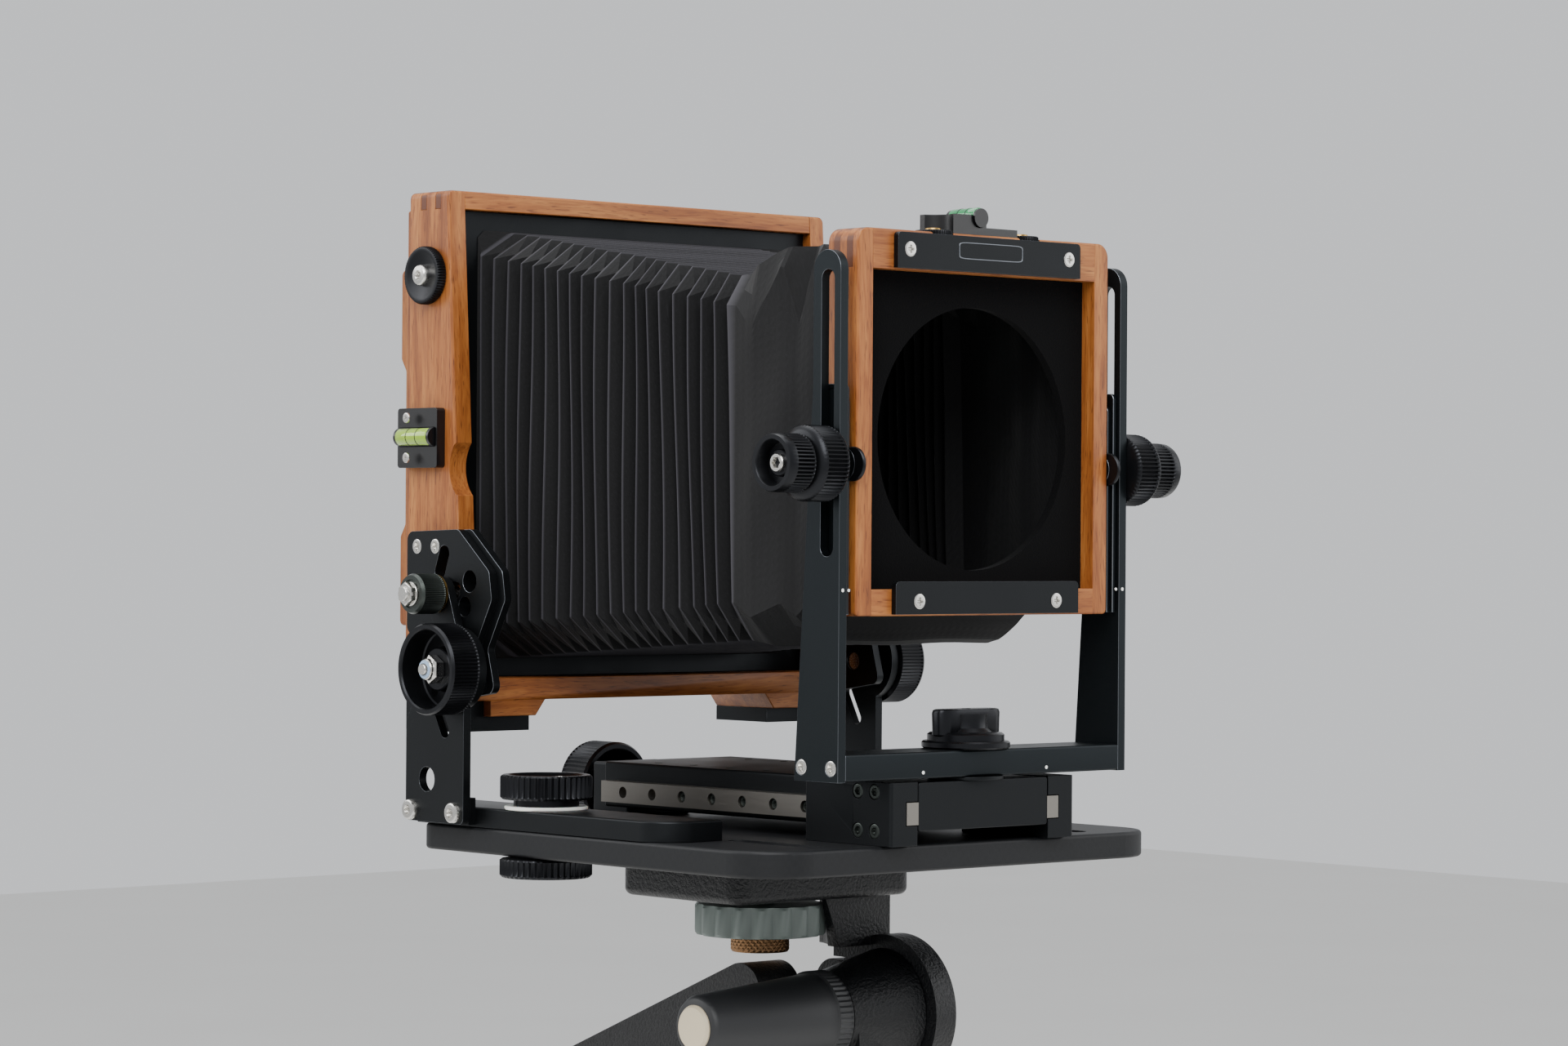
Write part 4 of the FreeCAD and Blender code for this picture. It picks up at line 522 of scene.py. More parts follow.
def flat_screws():
    """Cross-head and socket-head screws, where the CAD nodes have them."""
    for i, (low, high) in enumerate(islands("front_screws")):
        x, _, z = (low + high) / 2
        screw_head(f"face_screw_{i}", "front_frame", at(x, high[1] - 1.95, z), -Y, 2.35, 0.35,
                   ("cross", 1.9, 0.7), replaces=["front_screws"])
    side_screws = (     # node, name, body, how far the head is sunk, its radius and rise, its finish
        ("guide_screws", "guide_screw", "platform", 0.35, 2.3, 0.3, KNOB_GREY),
        ("bracket_screws", "bracket_screw", "front_bracket", 0.2, 2.35, 0.3, STEEL),
        ("rear_frame_hardware", "plate_screw", "rear_frame", 0.15, 2.35, 0.25, STEEL))
    for node, name, body, sunk, radius, rise, finish in side_screws:
        for i, (low, high) in enumerate(islands(node)):
            centre = (low + high) / 2
            way = math.copysign(1, centre[0])
            outer = max(abs(low[0]), abs(high[0]))
            screw_head(f"{name}_{i}", body, beside(way, outer - sunk, centre), X * way, radius, rise,
                       ("hexagon", 1.1, 1.0), finish, replaces=[node])


def side_knob(node, way, teeth, cut, rows, material=KNOB, power=0.8):
    """A knurled knob on a cross bolt. Rows give (share of the radius, height in mm, knurl share)
    from the camera outwards, and negative heights count back from the outer end."""
    inner, outer, centre, radius = sideways(node)
    profile = [(share * radius, height if height >= 0 else outer - inner + height, *knurl)
               for share, height, *knurl in rows]
    lathe(node + "_turned", node, material, beside(way, inner, centre), X * way, profile, teeth, cut, power,
          slot="knob_black", replaces=[node])


END = -0.0001    # the outer end of a knob


def front_knobs():
    """The big rise knob, the cupped tilt knob with its steel socket screw, and the sliding plate's washer."""
    plate_y = span("rise_plates")[0][1] + 1.3
    for side, way in SIDES:
        side_knob(f"rise_knob_{side}", way, 54, 0.9,
                  [(0, 0), (0.86, 0), (0.98, 0.7), (1, 1.0, 0.2), (1, 1.3, 1), (1, -2.4, 1), (1, -2.0, 0.2),
                   (0.985, -1.6), (0.93, -0.8), (0.80, END), (0, END)])
        knob = f"tilt_knob_{side}"
        side_knob(knob, way, 46, 0.8,
                  [(0, 0), (0.9, 0), (1, 0.5), (1, 0.9, 1), (1, -3.4, 1), (1, -3.1), (0.99, -0.8), (0.95, END),
                   (0.80, END), (0.76, -0.5), (0.70, -4.6), (0.3, -4.9), (0, -4.9)], power=1.5)
        _, outer, centre, _ = sideways(knob)
        face = [(r, 3.2) for r in (2.6, 2.3, 1.9, 1.6, 1.3, 1.0, 0.6, 0.3, 0)]
        lathe(f"tilt_screw_{side}", knob, STEEL, beside(way, outer - 5.1, centre), X * way,
              [(0, 0), (2.9, 0), (2.9, 2.8)] + face, socket=("hexagon", 1.45, 1.6), columns=60)
        lathe(f"tilt_spring_cup_{side}", knob, KNOB, beside(way, outer - 5.0, centre), X * way,
              [(0, 0), (4.2, 0), (4.2, 1.6), (3.8, 1.9), (0, 1.9)])
        lathe(f"plate_washer_{side}", "rise_carrier", KNOB, at(way * 55.15, plate_y, centre[2]), X * way,
              [(0, 0), (5.0, 0), (5.3, 0.3), (5.3, 1.0), (5.0, 1.3), (0, 1.3)])


def rear_knobs():
    """The big cupped pivot knob with its nut, the small lock knob, and their washers and bolts."""
    for low, high in islands("rear_base_hardware"):
        centre = (low + high) / 2
        way = math.copysign(1, centre[0])
        if high[0] - low[0] < 4:
            screw_head(f"button_{'right' if way > 0 else 'left'}_{round(centre[1])}", "rear_base",
                       beside(way, min(abs(low[0]), abs(high[0])), centre), X * way, 3.4, 1.9,
                       ("hexagon", 1.25, 1.3), replaces=["rear_base_hardware"])
    for side, way in SIDES:
        knob = f"pivot_knob_{side}"
        inner, outer, centre, radius = sideways(knob)
        depth = outer - inner
        cup = [(0, 0), (radius * 0.9, 0), (radius, 0.6), (radius, 1.0, 1), (radius, depth - 1.2, 1),
               (radius, depth - 0.9), (radius - 0.5, depth), (radius - 1.7, depth), (radius - 2.1, depth - 0.5),
               (radius - 2.3, 3.4), (radius - 2.8, 3.0), (7.6, 3.0), (7.2, 3.4), (7.0, 6.2), (6.6, 6.6),
               (0, 6.6)]
        lathe(f"{knob}_turned", knob, KNOB, beside(way, inner, centre), X * way, cup, 78, 0.5, 0.8,
              replaces=[knob])
        # Each of the knob's five holes is a black disc laid on its face, not cut into it: painted shade.
        for k in range(5):
            turn = math.radians(72 * k + 20)
            spot = at(way * (inner + 3.02), centre[1] + 9.6 * math.cos(turn), centre[2] + 9.6 * math.sin(turn))
            lathe(f"pivot_hole_{side}_{k}", knob, FLOCK_AND_HOLE_SHADE, spot, X * way,
                  [(0, -0.3), (1.6, -0.3), (1.6, 0.05), (0, 0.05)], columns=24, slot="knob_black")
        lathe(f"pivot_nut_{side}", "rear_base", STEEL, beside(way, inner + 6.7, centre), X * way,
              [(0, 0), (3.9, 0, 1), (4.0, 0.3, 1), (4.0, 3.2, 1), (3.7, 3.6, 0.4), (3.5, 3.9), (3.4, 4.6),
               (3.1, 4.9), (0, 4.9)], sides=6, columns=96)
        lathe(f"pivot_insert_{side}", "rear_base", BLUE_NYLON, beside(way, inner + 11.5, centre), X * way,
              [(0, 0), (3.0, 0), (3.0, 0.25), (2.2, 0.3), (0, 0.3)], columns=48)
        lathe(f"pivot_bolt_{side}", "rear_base", STEEL, beside(way, inner - 9.0, centre), X * way,
              [(0, 0), (2.9, 0), (2.9, 15.6), (2.0, 15.6), (2.0, 21.4), (1.7, 21.9), (0, 21.9)], columns=36)
        lock = f"rear_lock_{side}"
        inner, outer, centre, _ = sideways(lock)
        side_knob(lock, way, 56, 0.35,
                  [(0, 0.9), (0.88, 0.9), (1, 1.4), (1, 1.7, 1), (1, -1.4, 1), (1, -1.1), (0.92, END),
                   (0.72, END), (0.68, -0.5), (0, -0.5)], material=KNOB_GREY)
        lathe(f"lock_ring_{side}", lock, BRASS, beside(way, inner, centre), X * way,
              [(0, 0), (6.0, 0), (6.3, 0.2), (6.3, 0.8), (0, 0.8)], columns=48, slot="stainless")
        lathe(f"lock_washer_{side}", "rear_base", STEEL, beside(way, outer - 0.45, centre), X * way,
              [(0, 0), (3.9, 0), (3.9, 0.7), (3.7, 0.9), (0, 0.9)], columns=48)
        lathe(f"lock_nut_{side}", "rear_base", STEEL, beside(way, outer + 0.45, centre), X * way,
              [(0, 0), (3.3, 0, 1), (3.4, 0.3, 1), (3.4, 1.8, 1), (3.2, 2.1, 0.6), (0, 2.1)],
              sides=6, columns=96)
        lathe(f"lock_bolt_{side}", "rear_base", STEEL, beside(way, outer - 19.0, centre), X * way,
              [(0, 0), (2.4, 0), (2.4, 22.0), (2.1, 22.5), (0, 22.5)], columns=36)


def clamp_knobs():
    """Coarsely ribbed knobs above and under the bed: a dished top with two screws, and a nylon washer."""
    for side, way in (("left", -1), ("right", 1)):
        node = f"clamp_knob_{side}"
        low, high = span(node)
        x, y = (low[0] + high[0]) / 2, (low[1] + high[1]) / 2
        radius, top = (high[0] - low[0]) / 2, high[2]
        upper = [(0, 0), (10.6, 0), (10.6, 1.9), (radius - 0.8, 2.1), (radius, 2.8, 0.6),
                 (radius, 3.2, 1), (radius, 9.0, 1), (radius - 0.2, 9.5, 0.5), (radius - 0.9, 10.0),
                 (radius - 2.4, 10.0), (radius - 3.4, 9.2), (radius - 5.5, 8.6), (0, 8.4)]
        foot = top - 10.0
        lathe(f"{node}_upper", node, KNOB, at(x, y, foot), Z, upper, 44, 0.9, 0.7,
              replaces=[node])
        for k in (-1, 1):
            screw_head(f"{node}_screw_{(k + 1) // 2}", node, at(x + k * 4.2, y - 2.0, foot + 8.45), Z, 2.1, 0.9,
                       ("hexagon", 0.95, 0.9))
        lathe(f"{node}_washer", node, NYLON, at(x, y, foot - 1.25), Z,
              [(0, 0), (13.2, 0), (13.5, 0.3), (13.5, 0.95), (13.2, 1.2), (0, 1.2)], columns=96)
        bottom = low[2]
        lower = [(0, 0), (radius - 3, 0), (radius - 0.8, 0.1), (radius, 0.9, 0.6), (radius, 1.2, 1),
                 (radius, 5.2, 1), (radius, 5.6, 0.5), (radius - 0.6, 6.1), (11, 6.5), (0, 6.5)]
        lathe(f"{node}_lower", node, KNOB, at(x, y, bottom), Z, lower, 44, 0.9, 0.7)
        lathe(f"{node}_stud", node, STEEL, at(x, y, bottom + 4), Z,
              [(0, 0), (2.9, 0), (2.9, foot - bottom - 1), (0, foot - bottom - 1)], columns=36)


def focus_wheel_piece():
    """The ribbed focusing wheel with its open recess, and the lead screw's bright thread."""
    low, high = span("focus_wheel")
    x, z = (low[0] + high[0]) / 2, (low[2] + high[2]) / 2
    radius, rear = (high[2] - low[2]) / 2, high[1]
    front = rear - 14.1
    rows = [(0, 0), (radius - 2.5, 0), (radius - 0.8, 0.2), (radius, 1.0), (radius, 1.4, 1),
            (radius, 12.6, 1), (radius, 12.9), (radius - 0.7, 14.0), (radius - 2.1, 14.0),
            (radius - 2.5, 13.6), (radius - 2.7, 3.4), (radius - 3.2, 3.0), (5.2, 3.0),
            (5.0, 3.4), (5.0, 13.4), (4.5, 13.9), (0, 13.9)]
    lathe("focus_wheel_turned", "focus_wheel", KNOB, at(x, rear, z), -Y, rows, 60, 0.6, 0.8,
          replaces=["focus_wheel"])
    turns, pitch = front - low[1], 1.0
    steps = np.arange(0, turns, pitch / 2)
    rows = [(0, 0)] + [(2.9 - 0.35 * (i % 2), float(s)) for i, s in enumerate(steps)] + [(0, float(steps[-1]))]
    lathe("lead_screw_thread", "focus_wheel", STEEL, at(x, front, z), -Y, rows, columns=24,
          sharp=60)


def lock_wheels():
    """Knurled lock discs in the top edge of the front frame, with brass cross-head screws."""
    for side in ("left", "right"):
        node = f"lock_wheel_{side}"
        low, high = span(node)
        x, y, radius = (low[0] + high[0]) / 2, (low[1] + high[1]) / 2, (high[0] - low[0]) / 2
        disc_top = high[2] - 0.6
        rows = [(0, 0), (radius - 0.3, 0), (radius, 0.3, 1), (radius, disc_top - low[2] - 0.3, 1),
                (radius - 0.4, disc_top - low[2]), (0, disc_top - low[2])]
        lathe(node + "_turned", node, KNOB, at(x, y, low[2]), Z, rows, 48, 0.35,
              replaces=[node])
        screw_head(node + "_screw", node, at(x, y, disc_top), Z, 2.6, 0.8, ("cross", 1.5, 0.5), BRASS)


def wing():
    """The glossy swing lock: two stepped flanges, a waisted body and a thick T wing whose small hole is a black
    disc of painted shade.
    """
    low, high = span("wing_knob")
    x, y = (low[0] + high[0]) / 2, (low[1] + high[1]) / 2
    foot, top = low[2], high[2]
    rows = [(0, 0), (13.4, 0), (14.0, 0.5), (14.0, 1.9), (13.4, 2.4), (12.2, 2.5), (12.2, 4.4), (11.4, 5.0),
            (8.2, 5.2), (6.9, 6.4), (6.6, 8.6), (6.9, top - foot - 1.6), (0, top - foot - 1.6)]
    lathe("wing_knob_body", "wing_knob", KNOB, at(x, y, foot), Z, rows, replaces=["wing_knob"],
          columns=96)
    t = np.linspace(0, 2 * np.pi, 64, endpoint=False)
    half_x, half_y = (high[0] - low[0]) / 2 - 0.5, 3.7
    power = 0.45
    ring = np.stack([half_x * np.sign(np.cos(t)) * np.abs(np.cos(t)) ** power,
                     half_y * np.sign(np.sin(t)) * np.abs(np.sin(t)) ** 0.7], -1)
    levels = [(top - 8.6, 0.0), (top - 8.6, 0.90), (top - 8.0, 0.985), (top - 1.2, 1.0), (top - 0.3, 0.97),
              (top, 0.90), (top, 0.0)]
    height, share = np.array(levels[1:-1]).T[:, :, None]
    rings = np.stack(np.broadcast_arrays(x + ring[:, 0] * share, y + ring[:, 1] * share, height), -1)
    verts, faces = capped(rings, [(x, y, levels[0][0]), (x, y, levels[-1][0])])
    put("wing_knob_wing", HOME + verts * MM, faces, KNOB, "wing_knob", "knob_black")
    # The wing's small hole is a black disc on its top: painted shade, not a hole.
    lathe("wing_knob_hole_painted_shade", "wing_knob", FLOCK_AND_HOLE_SHADE, at(x, y, top - 0.3), Z,
          [(0, 0), (1.5, 0), (1.5, 0.35), (0, 0.35)], columns=24, slot="knob_black")


def back_lock_piece():
    """The knurled disc on the rear frame's side, dished round its steel button head."""
    low, high = span("back_lock")
    y, z, radius = (low[1] + high[1]) / 2, (low[2] + high[2]) / 2, (high[2] - low[2]) / 2
    rows = [(0, 0), (radius - 0.3, 0), (radius, 0.4, 1), (radius, 2.7, 1), (radius - 0.4, 3.2, 0.2),
            (radius - 1.2, 3.3), (radius - 2.2, 3.1), (4.4, 2.3), (0, 2.2)]
    lathe("back_lock_turned", "back_lock", KNOB, at(high[0], y, z), -X, rows, 64, 0.45,
          replaces=["back_lock"])
    screw_head("back_lock_screw", "back_lock", at(high[0] - 2.2, y, z), -X, 3.5, 2.6, ("hexagon", 1.25, 1.4))


# ---------------------------------------------------------------- bellows

PLEATS = 20
REAR_Y = 169.5             # first ridge
LAST_Y = 60.0              # last ridge; a smooth bag runs on from here to the front frame
PLEAT_DEPTH = 6.2
LEAN = 5.0                 # how far the last ridge's top leans back
SKIN = 0.7
STATIONS = np.array([      # y, half width, bottom, top, then the corner cuts: top across, up, bottom across, up
    (171.0, 69.0, 54.0, 196.5, 2.5, 2.5, 2.5, 2.5),
    (169.5, 69.0, 54.0, 196.5, 15.0, 9.0, 18.0, 11.5),
    (60.0, 52.0, 62.0, 178.4, 7.0, 10.0, 8.5, 12.5),
    (52.0, 52.4, 61.5, 180.5, 3.0, 20.0, 10.0, 8.0),
    (39.0, 50.5, 61.0, 185.5, 3.5, 5.0, 11.0, 14.0),
    (33.0, 49.2, 62.5, 186.5, 8.0, 26.0, 10.0, 8.0),
    (27.0, 49.4, 67.0, 187.0, 4.5, 6.0, 8.0, 9.0),
    (14.0, 47.6, 80.4, 176.6, 1.5, 1.5, 1.5, 1.5),
])


def bellows_ring(y, inset=0.0):
    """Points round the bellows at a distance y, starting at the lower left corner.
    The section is a rectangle with cut corners. Between ridges it sinks by a triangle wave, and its corner
    cuts close up to a point, and towards the front the ridges lean back; in front of the last ridge the
    cloth crumples by a sum of slow sines."""
    half, low, high, top_x, top_z, low_x, low_z = (np.interp(y, STATIONS[::-1, 0], STATIONS[::-1, i])
                                                   for i in range(1, 8))
    phase = (REAR_Y - y) / ((REAR_Y - LAST_Y) / (PLEATS - 1))
    pleated = LAST_Y - 0.3 < y < REAR_Y + 0.6
    sunk = abs((phase + 0.5) % 1 - 0.5) * 2 if pleated else 0.0
    inward = sunk * PLEAT_DEPTH + inset
    top_x, top_z, low_x, low_z = (cut * (1 - 0.94 * sunk) for cut in (top_x, top_z, low_x, low_z))
    half, low, high = half - inward, low + inward, high - inward
    corners = [(-half, low + low_z), (-half, high - top_z), (-half + top_x, high), (half - top_x, high),
               (half, high - top_z), (half, low + low_z), (half - low_x, low), (-half + low_x, low)]
    parts = (12, 2) * 4
    points = []
    for i, count in enumerate(parts):
        a, b = np.array(corners[i]), np.array(corners[(i + 1) % 8])
        points.append(a + (b - a) * np.arange(count)[:, None] / count)
    ring = np.vstack(points)
    x, z = ring[:, 0], ring[:, 1]
    bow = 0.8 * np.sin(z / 23 + phase * 0.9) + 0.5 * np.sin(x / 17 + phase * 1.3)
    depth = np.full(len(ring), float(y))
    if y > LAST_Y - 0.3:
        ends = min(1.0, (171.0 - y) / 6, max(0.0, (y - LAST_Y) / 8) + 0.6)
        lean = LEAN * max(0.0, 150.0 - y) / 90.0 * (z - low) / (high - low)
        depth = depth + bow * ends * 0.9 + lean
    else:
        loose = min(1.0, (LAST_Y - y) / 9, (y - 14.0) / 9)
        centre = (low + high) / 2
        crumple = (0.45 * np.sin(z / 9.5 + y / 6.0) + 0.3 * np.sin(x / 8.0 - y / 7.5 + 1.0)
                   + 0.2 * np.sin(z / 4.3 - y / 3.5 + 2.0)) * loose
        away = np.stack([x / half, (z - centre) / (high - centre)], -1)
        push = away / np.maximum(np.linalg.norm(away, axis=1, keepdims=True), 1e-6)
        ring = ring + push * crumple[:, None]
    return np.column_stack([ring[:, 0], depth, ring[:, 1]])


def bellows_rows(rear, front):
    """The distances of the rows between two seams, and their share of the lighter ridge line: painted highlight
    with some rubbing.
    """
    pitch = (REAR_Y - LAST_Y) / (PLEATS - 1)
    rows = [(rear, 0.0)]
    for k in range(2 * PLEATS - 1):
        centre = REAR_Y - k * pitch / 2
        ridge = k % 2 == 0
        # the rows at a ridge take the lighter line: painted highlight with some rubbing
        for step, ridge_rub_and_highlight in ((0.38, 0.0), (0.14, float(ridge)), (-0.14, float(ridge)), (-0.38, 0.0)):
            rows.append((centre + step, ridge_rub_and_highlight))
    rows += [(float(y), 0.0) for y in np.arange(LAST_Y - 2.0, 14.2, -1.3)]
    rows = [r for r in rows if front + 0.25 < r[0] < rear - 0.25 or r[0] == rear]
    return sorted(rows, reverse=True) + [(front, 0.0)]


SEAMS = (       # the joint's two bodies, and the rear and front distance of the stretch between them
    ("rear_frame", "rear_base", 171.0, 139.0),
    ("rear_base", "platform", 139.0, 117.0),
    ("platform", "focus_rail", 117.0, 58.0),
    ("focus_rail", "front_bracket", 58.0, 42.0),
    ("front_bracket", "rise_carrier", 42.0, 32.0),
    ("rise_carrier", "front_frame", 32.0, 14.0),
)


def bellows_pieces():
    """The bellows in six stretches, each across one joint and closed to a thin-walled tube of cloth."""
    for i, (behind, ahead, rear, front) in enumerate(SEAMS):
        rows = bellows_rows(rear, front)
        outer = np.array([bellows_ring(y) for y, _ in rows])
        inner = np.array([bellows_ring(y, inset=SKIN) for y, _ in rows])[::-1]
        points = np.concatenate([outer, inner])
        # each row's share of the lighter ridge line: painted highlight with some rubbing
        wear_and_highlight = [w for _, w in rows] + [0.0] * len(rows)
        count = points.shape[1]
        faces = grid_faces(len(points), count, True)
        name = f"bellows_stretch_{i + 1}"
        piece = put(name, HOME + points.reshape(-1, 3) * MM, faces, CLOTH, None, "bellows_cloth",
                    ["bellows"] if i == 0 else (), sharp=14.0)
        mesh = piece.data
        ridge_rub_and_highlight = mesh.attributes.new("ridge_rub_and_highlight", "FLOAT", "POINT")
        ridge_rub_and_highlight.data.foreach_set("value", np.repeat(wear_and_highlight, count).astype(np.float32))
        lengths = np.linalg.norm(np.diff(points, axis=1, append=points[:, :1]), axis=2).cumsum(1) * MM
        down = np.linalg.norm(np.diff(points[:, 0], axis=0, prepend=points[:1, 0]), axis=1).cumsum() * MM
        place = np.stack([lengths, np.broadcast_to(down[:, None], lengths.shape)], -1).reshape(-1, 2)
        corner = np.zeros(len(mesh.loops), np.int32)
        mesh.loops.foreach_get("vertex_index", corner)
        mesh.uv_layers.new(name="cloth").data.foreach_set("uv", place[corner].astype(np.float32).ravel())
        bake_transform(piece)


# ---------------------------------------------------------------- small details

def rail_screws():
    """Dark socket screws sunk in the steel rails' holes."""
    low, high = span("steel_rails")
    pitch, first = 15.0, high[1] - 11.25
    rows = [(0, -0.6), (1.75, -0.6), (1.75, 0.9)] + [(r, 1.1) for r in (1.5, 1.2, 0.9, 0.6, 0.3, 0)]
    for side, way in SIDES:
        for i in range(2, int((high[1] - low[1]) // pitch)):
            spot = at(way * (high[0] - 1.9), first - pitch * i, (low[2] + high[2]) / 2)
            lathe(f"rail_screw_{side}_{i}", "focus_rail", KNOB_GREY, spot, X * way, rows,
                  socket=("hexagon", 0.8, 0.8), columns=30, slot="rail_steel")


def beam_dots():
    """Small round plugs along the focusing beam's deck."""
    deck = 19.5         # the deck's height above the bed; the beam's own box reaches higher
    for side, way in SIDES:
        for i in range(5):
            lathe(f"deck_plug_{side}_{i}", "focus_rail", KNOB_GREY, at(way * 20.0, 62.0 + 18.0 * i, deck), Z,
                  [(0, -0.3), (1.3, -0.3), (1.3, 0.12), (1.0, 0.2), (0, 0.2)], columns=24,
                  slot="anodised_black")


def index_dots():
    """White zero marks on the front edges of the uprights and plates, and on the crossbar."""
    edge, plate_edge = (span(node)[0][1] for node in ("front_uprights", "rise_plates"))
    dots = (        # name, body, distance from the middle, front edge, height, radius
        ("upright_dot", "front_bracket", 61.3, edge, 79.0, 0.55),
        ("plate_dot", "rise_carrier", 58.6, plate_edge, 79.0, 0.45),
        ("crossbar_dot", "front_bracket", 27.0, edge, 22.6, 0.55))
    for side, way in SIDES:
        for name, body, x, y, z, radius in dots:
            lathe(f"{name}_{side}", body, MARK, at(way * x, y, z), -Y,
                  [(0, -0.2), (radius, -0.2), (radius, 0.06), (0, 0.08)], columns=24)


def front_badge():
    """A plain raised line frame with round corners on the top plate: a thin wire along a super-ellipse."""
    half_x, half_z, middle_z = 13.8, 2.5, 184.6
    wide, thick = 0.16, 0.12        # the wire's half width and half thickness
    t = np.linspace(0, 2 * np.pi, 72, endpoint=False)
    path = np.stack([half_x * np.sign(np.cos(t)) * np.abs(np.cos(t)) ** 0.22,
                     half_z * np.sign(np.sin(t)) * np.abs(np.sin(t)) ** 0.22], -1)
    face = span("board_plates")[0][1]
    rows = []
    for k in range(8):
        turn = 2 * np.pi * k / 8
        grow = wide * math.cos(turn)
        rows.append(np.column_stack([path[:, 0] * (1 + grow / half_x),
                                     np.full(72, face + thick * math.sin(turn)),
                                     path[:, 1] * (1 + grow / half_z) + middle_z]))
    put("badge_frame", HOME + np.array(rows).reshape(-1, 3) * MM, grid_faces(8, 72, True), CHAMFER,
        "front_frame", "anodised_black")


def levels():
    """The two spirit levels: a green vial with two ring lines in a black block, and the side one's screws."""
    dressed("front_level", LEVEL_BLOCK, 0.25, name="front_level_block")
    low, high = max(islands("front_level"), key=lambda b: b[1][2])
    x, _, z = (low + high) / 2
    capsule("front_vial", "front_frame", GREEN_VIAL, (x, low[1] + 0.2, z + 0.25), Y, 3.05,
            high[1] - low[1] - 0.6)
    dressed("side_level", LEVEL_BLOCK, 0.25, name="side_level_block")
    low, high = min(islands("side_level"), key=lambda b: b[1][2] - b[0][2])
    x, _, z = (low + high) / 2
    capsule("side_vial", "rear_frame", VIAL, (x - 0.25, low[1] + 0.5, z), Y, 3.0, high[1] - low[1] - 1.0)
    low, high = span("side_level")
    _, y, z = (low + high) / 2
    for i, k in enumerate((-1, 1)):
        screw_head(f"side_level_screw_{i}", "rear_frame",
                   at(low[0] + 0.15, y + 2.2, z + k * 6.6), -X, 1.7, 0.5, ("cross", 1.1, 0.5))


def capsule(name, body, material, foot, axis, radius, length):
    """A round-ended tube of fluid; its ends are half ellipsoids one third of a radius deep."""
    turn = np.linspace(0, np.pi / 2, 7)
    low = [(radius * math.sin(a), radius / 3 * (1 - math.cos(a))) for a in turn]
    high = [(r, length - h) for r, h in low[::-1]]
    marks = [(radius, length * k) for k in (0.36, 0.64)]
    lathe(name, body, material, at(*foot), axis, low + marks + high, columns=48, slot="level_black")
    for i, k in enumerate((0.36, 0.64)):
        centre = np.array(foot) + np.array(axis) * length * k
        lathe(f"{name}_line_{i}", body, LEVEL_BLOCK, at(*centre), axis,
              [(radius - 0.1, -0.18), (radius + 0.06, -0.18), (radius + 0.06, 0.18), (radius - 0.1, 0.18)],
              columns=48, ring=True)


# ---------------------------------------------------------------- head and tripod

def head_pieces():
    """The turned and moulded pieces of the pan and tilt head."""
    low, high = span("camera_screw")
    x, y = (low[0] + high[0]) / 2, (low[1] + high[1]) / 2
    radius = (high[0] - low[0]) / 2
    boxes = sorted(islands("camera_screw"), key=lambda b: b[1][0] - b[0][0])
    stud_low, stud_high = boxes[0]
    wheel_low = boxes[-1][0]
    depth = 10.7
    rows = [(0, 0), (radius - 2.5, 0), (radius - 0.7, 0.3, 0.5), (radius, 1.2, 1), (radius, depth - 1.2, 1),
            (radius - 0.7, depth - 0.3, 0.5), (radius - 2.5, depth), (6.5, depth), (4.9, depth + 0.3),
            (4.9, high[2] - wheel_low[2] - 0.6), (4.3, high[2] - wheel_low[2]), (0, high[2] - wheel_low[2])]
    lathe("camera_screw_wheel", "camera_screw", GREY_GREEN, at(x, y, wheel_low[2]), Z, rows, 18, 1.9, 1.6,
          slot="ring_plastic", replaces=["camera_screw"])
    radius, length = (stud_high[0] - stud_low[0]) / 2, stud_high[2] - stud_low[2]
    diamond_knurl("camera_screw_stud", "camera_screw", BRONZE, (x, y, stud_low[2]), radius, length)
    low, high = span("tilt_grip")
    y, z = (low[1] + high[1]) / 2, (low[2] + high[2]) / 2
    inner = high[0]
    radius = (high[2] - low[2]) / 2
    length = inner - low[0]
    rows = [(0, 0), (radius - 1.0, 0), (radius, 0.5), (radius, 0.8, 1), (radius, 6.0, 1), (radius, 6.3),
            (radius - 0.6, 6.8), (radius - 0.7, 7.2), (radius - 1.0, 10.0), (radius - 4.6, length - 4.0),
            (radius - 5.4, length - 2.6), (radius - 6.2, length - 2.1), (0, length - 2.1)]
    lathe("tilt_grip_turned", "tilt_grip", RUBBER, at(inner, y, z), -X, rows, 48, 0.5, slot="grip_rubber",
          replaces=["tilt_grip"])
    lathe("tilt_grip_cap", "tilt_grip", BEIGE, at(low[0] + 2.4, y, z), -X,
          [(0, 0), (7.3, 0), (7.3, 0.8), (6.6, 1.7), (4.0, 2.2), (0, 2.3)], columns=64, slot="grip_rubber")


def diamond_knurl(name, body, material, foot, radius, length):
    """A stud whose surface is cut by two crossing helical grooves, with a bevelled end."""
    rows, columns, teeth, depth = 40, 180, 30, 0.45
    h = np.linspace(0, length, rows)[:, None]
    a = np.arange(columns)[None, :] / columns * 2 * np.pi
    pitch = 2 * np.pi * radius / teeth
    one = np.abs(np.sin(teeth * a / 2 + np.pi * h / pitch))
    two = np.abs(np.sin(teeth * a / 2 - np.pi * h / pitch))
    ends = np.clip(np.minimum(h, length - h) / 0.7, 0, 1)
    r = radius - 0.5 * (1 - ends) - depth * (1 - np.minimum(one, two)) * ends
    points = np.stack([foot[0] + r * np.cos(a), foot[1] + r * np.sin(a), foot[2] + h + 0 * a], -1)
    verts, faces = capped(points, [foot, (foot[0], foot[1], foot[2] + length)])
    put(name, HOME + verts * MM, faces, material, body, "ring_plastic")


